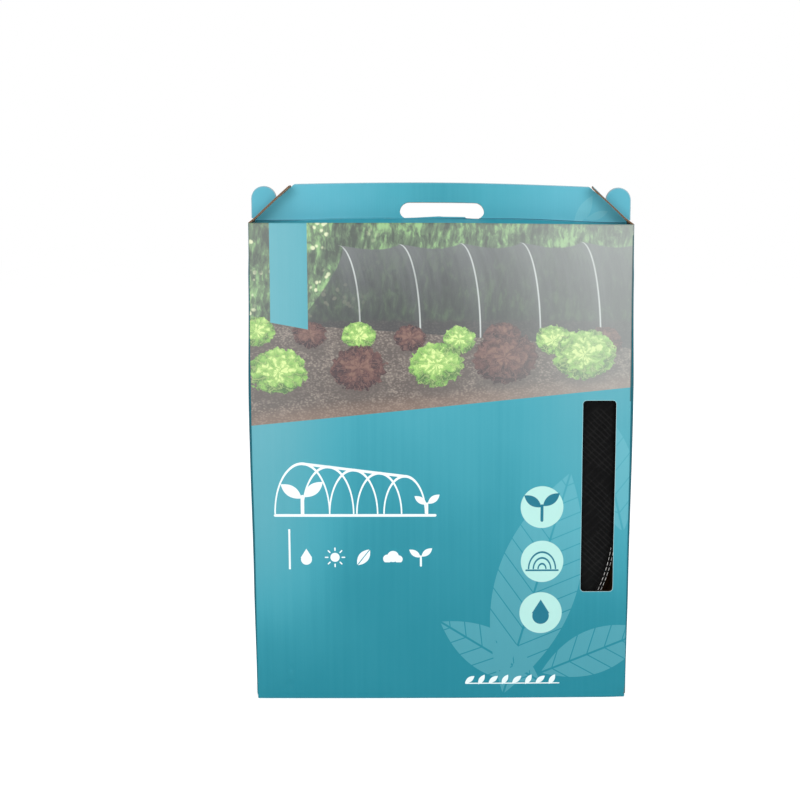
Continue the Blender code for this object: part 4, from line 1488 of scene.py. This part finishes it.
def front_look(tree):
    """The front's print: picture, teal field with large leaves, signs and badges; painted glare pales its
    teal and picture, a painted shade line runs down its right crease and a painted highlight rims the window.
    """
    u, v = board_uv(tree)
    x, z = u * 1000.0, v * 1000.0
    edge_height, edge_start, edge_slope = PICTURE_EDGE
    above_edge = z - (x + edge_start) * edge_slope - edge_height
    # light is painted glare: it pales the teal, the tab and the picture
    light = in_group("front painted glare", front_painted_glare, x, z)
    teal = teal_ground(u, v, light)
    field = mix(in_group("large leaves", large_leaves, x, z) * 0.32, teal, TEAL_MOTIF)
    rule = between(x, RULE[0], RULE[1]) * between(z, RULE[2], RULE[3])
    parts = {"title sign": title_sign, "small icons": small_icons, "leaf row": leaf_row}
    signs = union(rule, *[in_group(name, sign, x, z) for name, sign in parts.items()])
    field = mix(signs, field, WHITE_INK)
    field = mix(union(*[within(away(x, z, *centre), BADGE_RADIUS) for centre in BADGES]), field, MINT_INK)
    field = mix(in_group("badge icons", badge_icons, x, z), field, TEAL_INK)
    scene_print = in_group("printed picture", picture, x, z, above_edge, light)
    colour = mix(above_edge.step(-SOFT, SOFT), field, scene_print)
    left, right, foot, slope = TAB
    tab = between(x, left, right) * (z - (x - left) * slope - foot).step(-SOFT, SOFT)
    # Painted shade: a dark line down the front's rounded right crease, where the side in shadow shows past it
    start, end, low, high = SHADED_EDGE_SPAN
    seam = x.step(start, end) * between(z, low, high)
    colour = mix(seam * 0.85, mix(tab, colour, teal), TEAL_EDGE_SHADE)
    # The window's pale rim is partly a painted highlight of its rounded cut edge
    return printed(mix(in_group("window rim and highlight", window_rim_and_highlight, x, z), colour, CUT_RIM_AND_HIGHLIGHT), u, v)


def add_object(name, data, place, turn):
    """Add a camera or a lamp to the scene."""
    made = bpy.data.objects.new(name, data)
    bpy.context.scene.collection.objects.link(made)
    made.location = place
    made.rotation_euler = turn
    return made


def make_camera():
    """The photograph's camera."""
    data = bpy.data.cameras.new("camera")
    data.lens = 64.72
    data.sensor_width = 36.0
    data.shift_x = -0.0518
    bpy.context.scene.camera = add_object("camera", data, CAMERA_PLACE, (CAMERA_TILT, 0.0, CAMERA_TURN))


def add_lamp(name, place, target, size, power):
    """A soft square lamp that faces a target."""
    data = bpy.data.lights.new(name, "AREA")
    data.shape = "SQUARE"
    data.size = size
    data.energy = power
    turn = (Vector(target) - Vector(place)).to_track_quat("-Z", "Y").to_euler()
    add_object(name, data, place, turn)


def seen_ray(tree):
    """1 for rays that show the background: those of the camera, of gloss and through glass."""
    paths = tree.nodes.new("ShaderNodeLightPath")
    return union(*[Field(paths.outputs[f"Is {kind} Ray"]) for kind in ("Camera", "Glossy", "Transmission")])


def make_world():
    """An even white studio: the camera sees pure white, and the object a softer light."""
    world = bpy.data.worlds.new("studio")
    bpy.context.scene.world = world
    world.use_nodes = True
    strength = seen_ray(world.node_tree) * (1.0 - WORLD_LIGHT) + WORLD_LIGHT
    feed(world.node_tree.nodes["Background"], {"Color": WHITE, "Strength": strength})


def floor_look(tree):
    """A white floor that glows where the camera sees it."""
    grain = noise(object_place(tree), 4.0)
    glow = seen_ray(tree) * FLOOR_GLOW
    return {"Base Color": mix(grain, (0.93, 0.93, 0.93), (0.96, 0.96, 0.96)), "Roughness": 0.9,
            "Specular IOR Level": 0.0, "Emission Color": WHITE, "Emission Strength": glow}


def make_floor():
    """The floor, which keeps the carton's shadow."""
    bpy.ops.mesh.primitive_plane_add(size=12.0, location=(0.0, 3.0, -0.0005))
    floor = bpy.context.object
    floor.name = "floor"
    floor.data.materials.append(new_material("white floor", floor_look))


net = new_material("black net", net_look, (0.0115, 0.0115, 0.0115), (0.0026, 0.0027, 0.0029))
hem = new_material("net hem", net_look, (0.0070, 0.0070, 0.0074), (0.0024, 0.0024, 0.0027))
steel = new_material("galvanised wire", steel_look)
thread = new_material("white thread", thread_look)
kraft = new_material("kraft liner", kraft_look)
raw_edge = new_material("cut board edge", raw_edge_look)
teal_print = new_material("teal print", teal_look)
strip_print = new_material("strip print", strip_look)
side_shaded_print = new_material("side print shaded", side_look)
handle_print = new_material("handle print", handle_look)
front_print = new_material("front print", front_look)
back_print = new_material("back print", back_look)

make_walls()
make_bottom_flaps()
make_glue_flap()
make_strips()
make_plies()
make_side_flaps()
make_hoops()
make_sleeves()
make_stitches()
make_bays()
make_net_ends()

make_camera()
for lamp_settings in LAMPS:
    add_lamp(*lamp_settings)
make_world()
make_floor()

bpy.context.scene.view_settings.view_transform = "Standard"
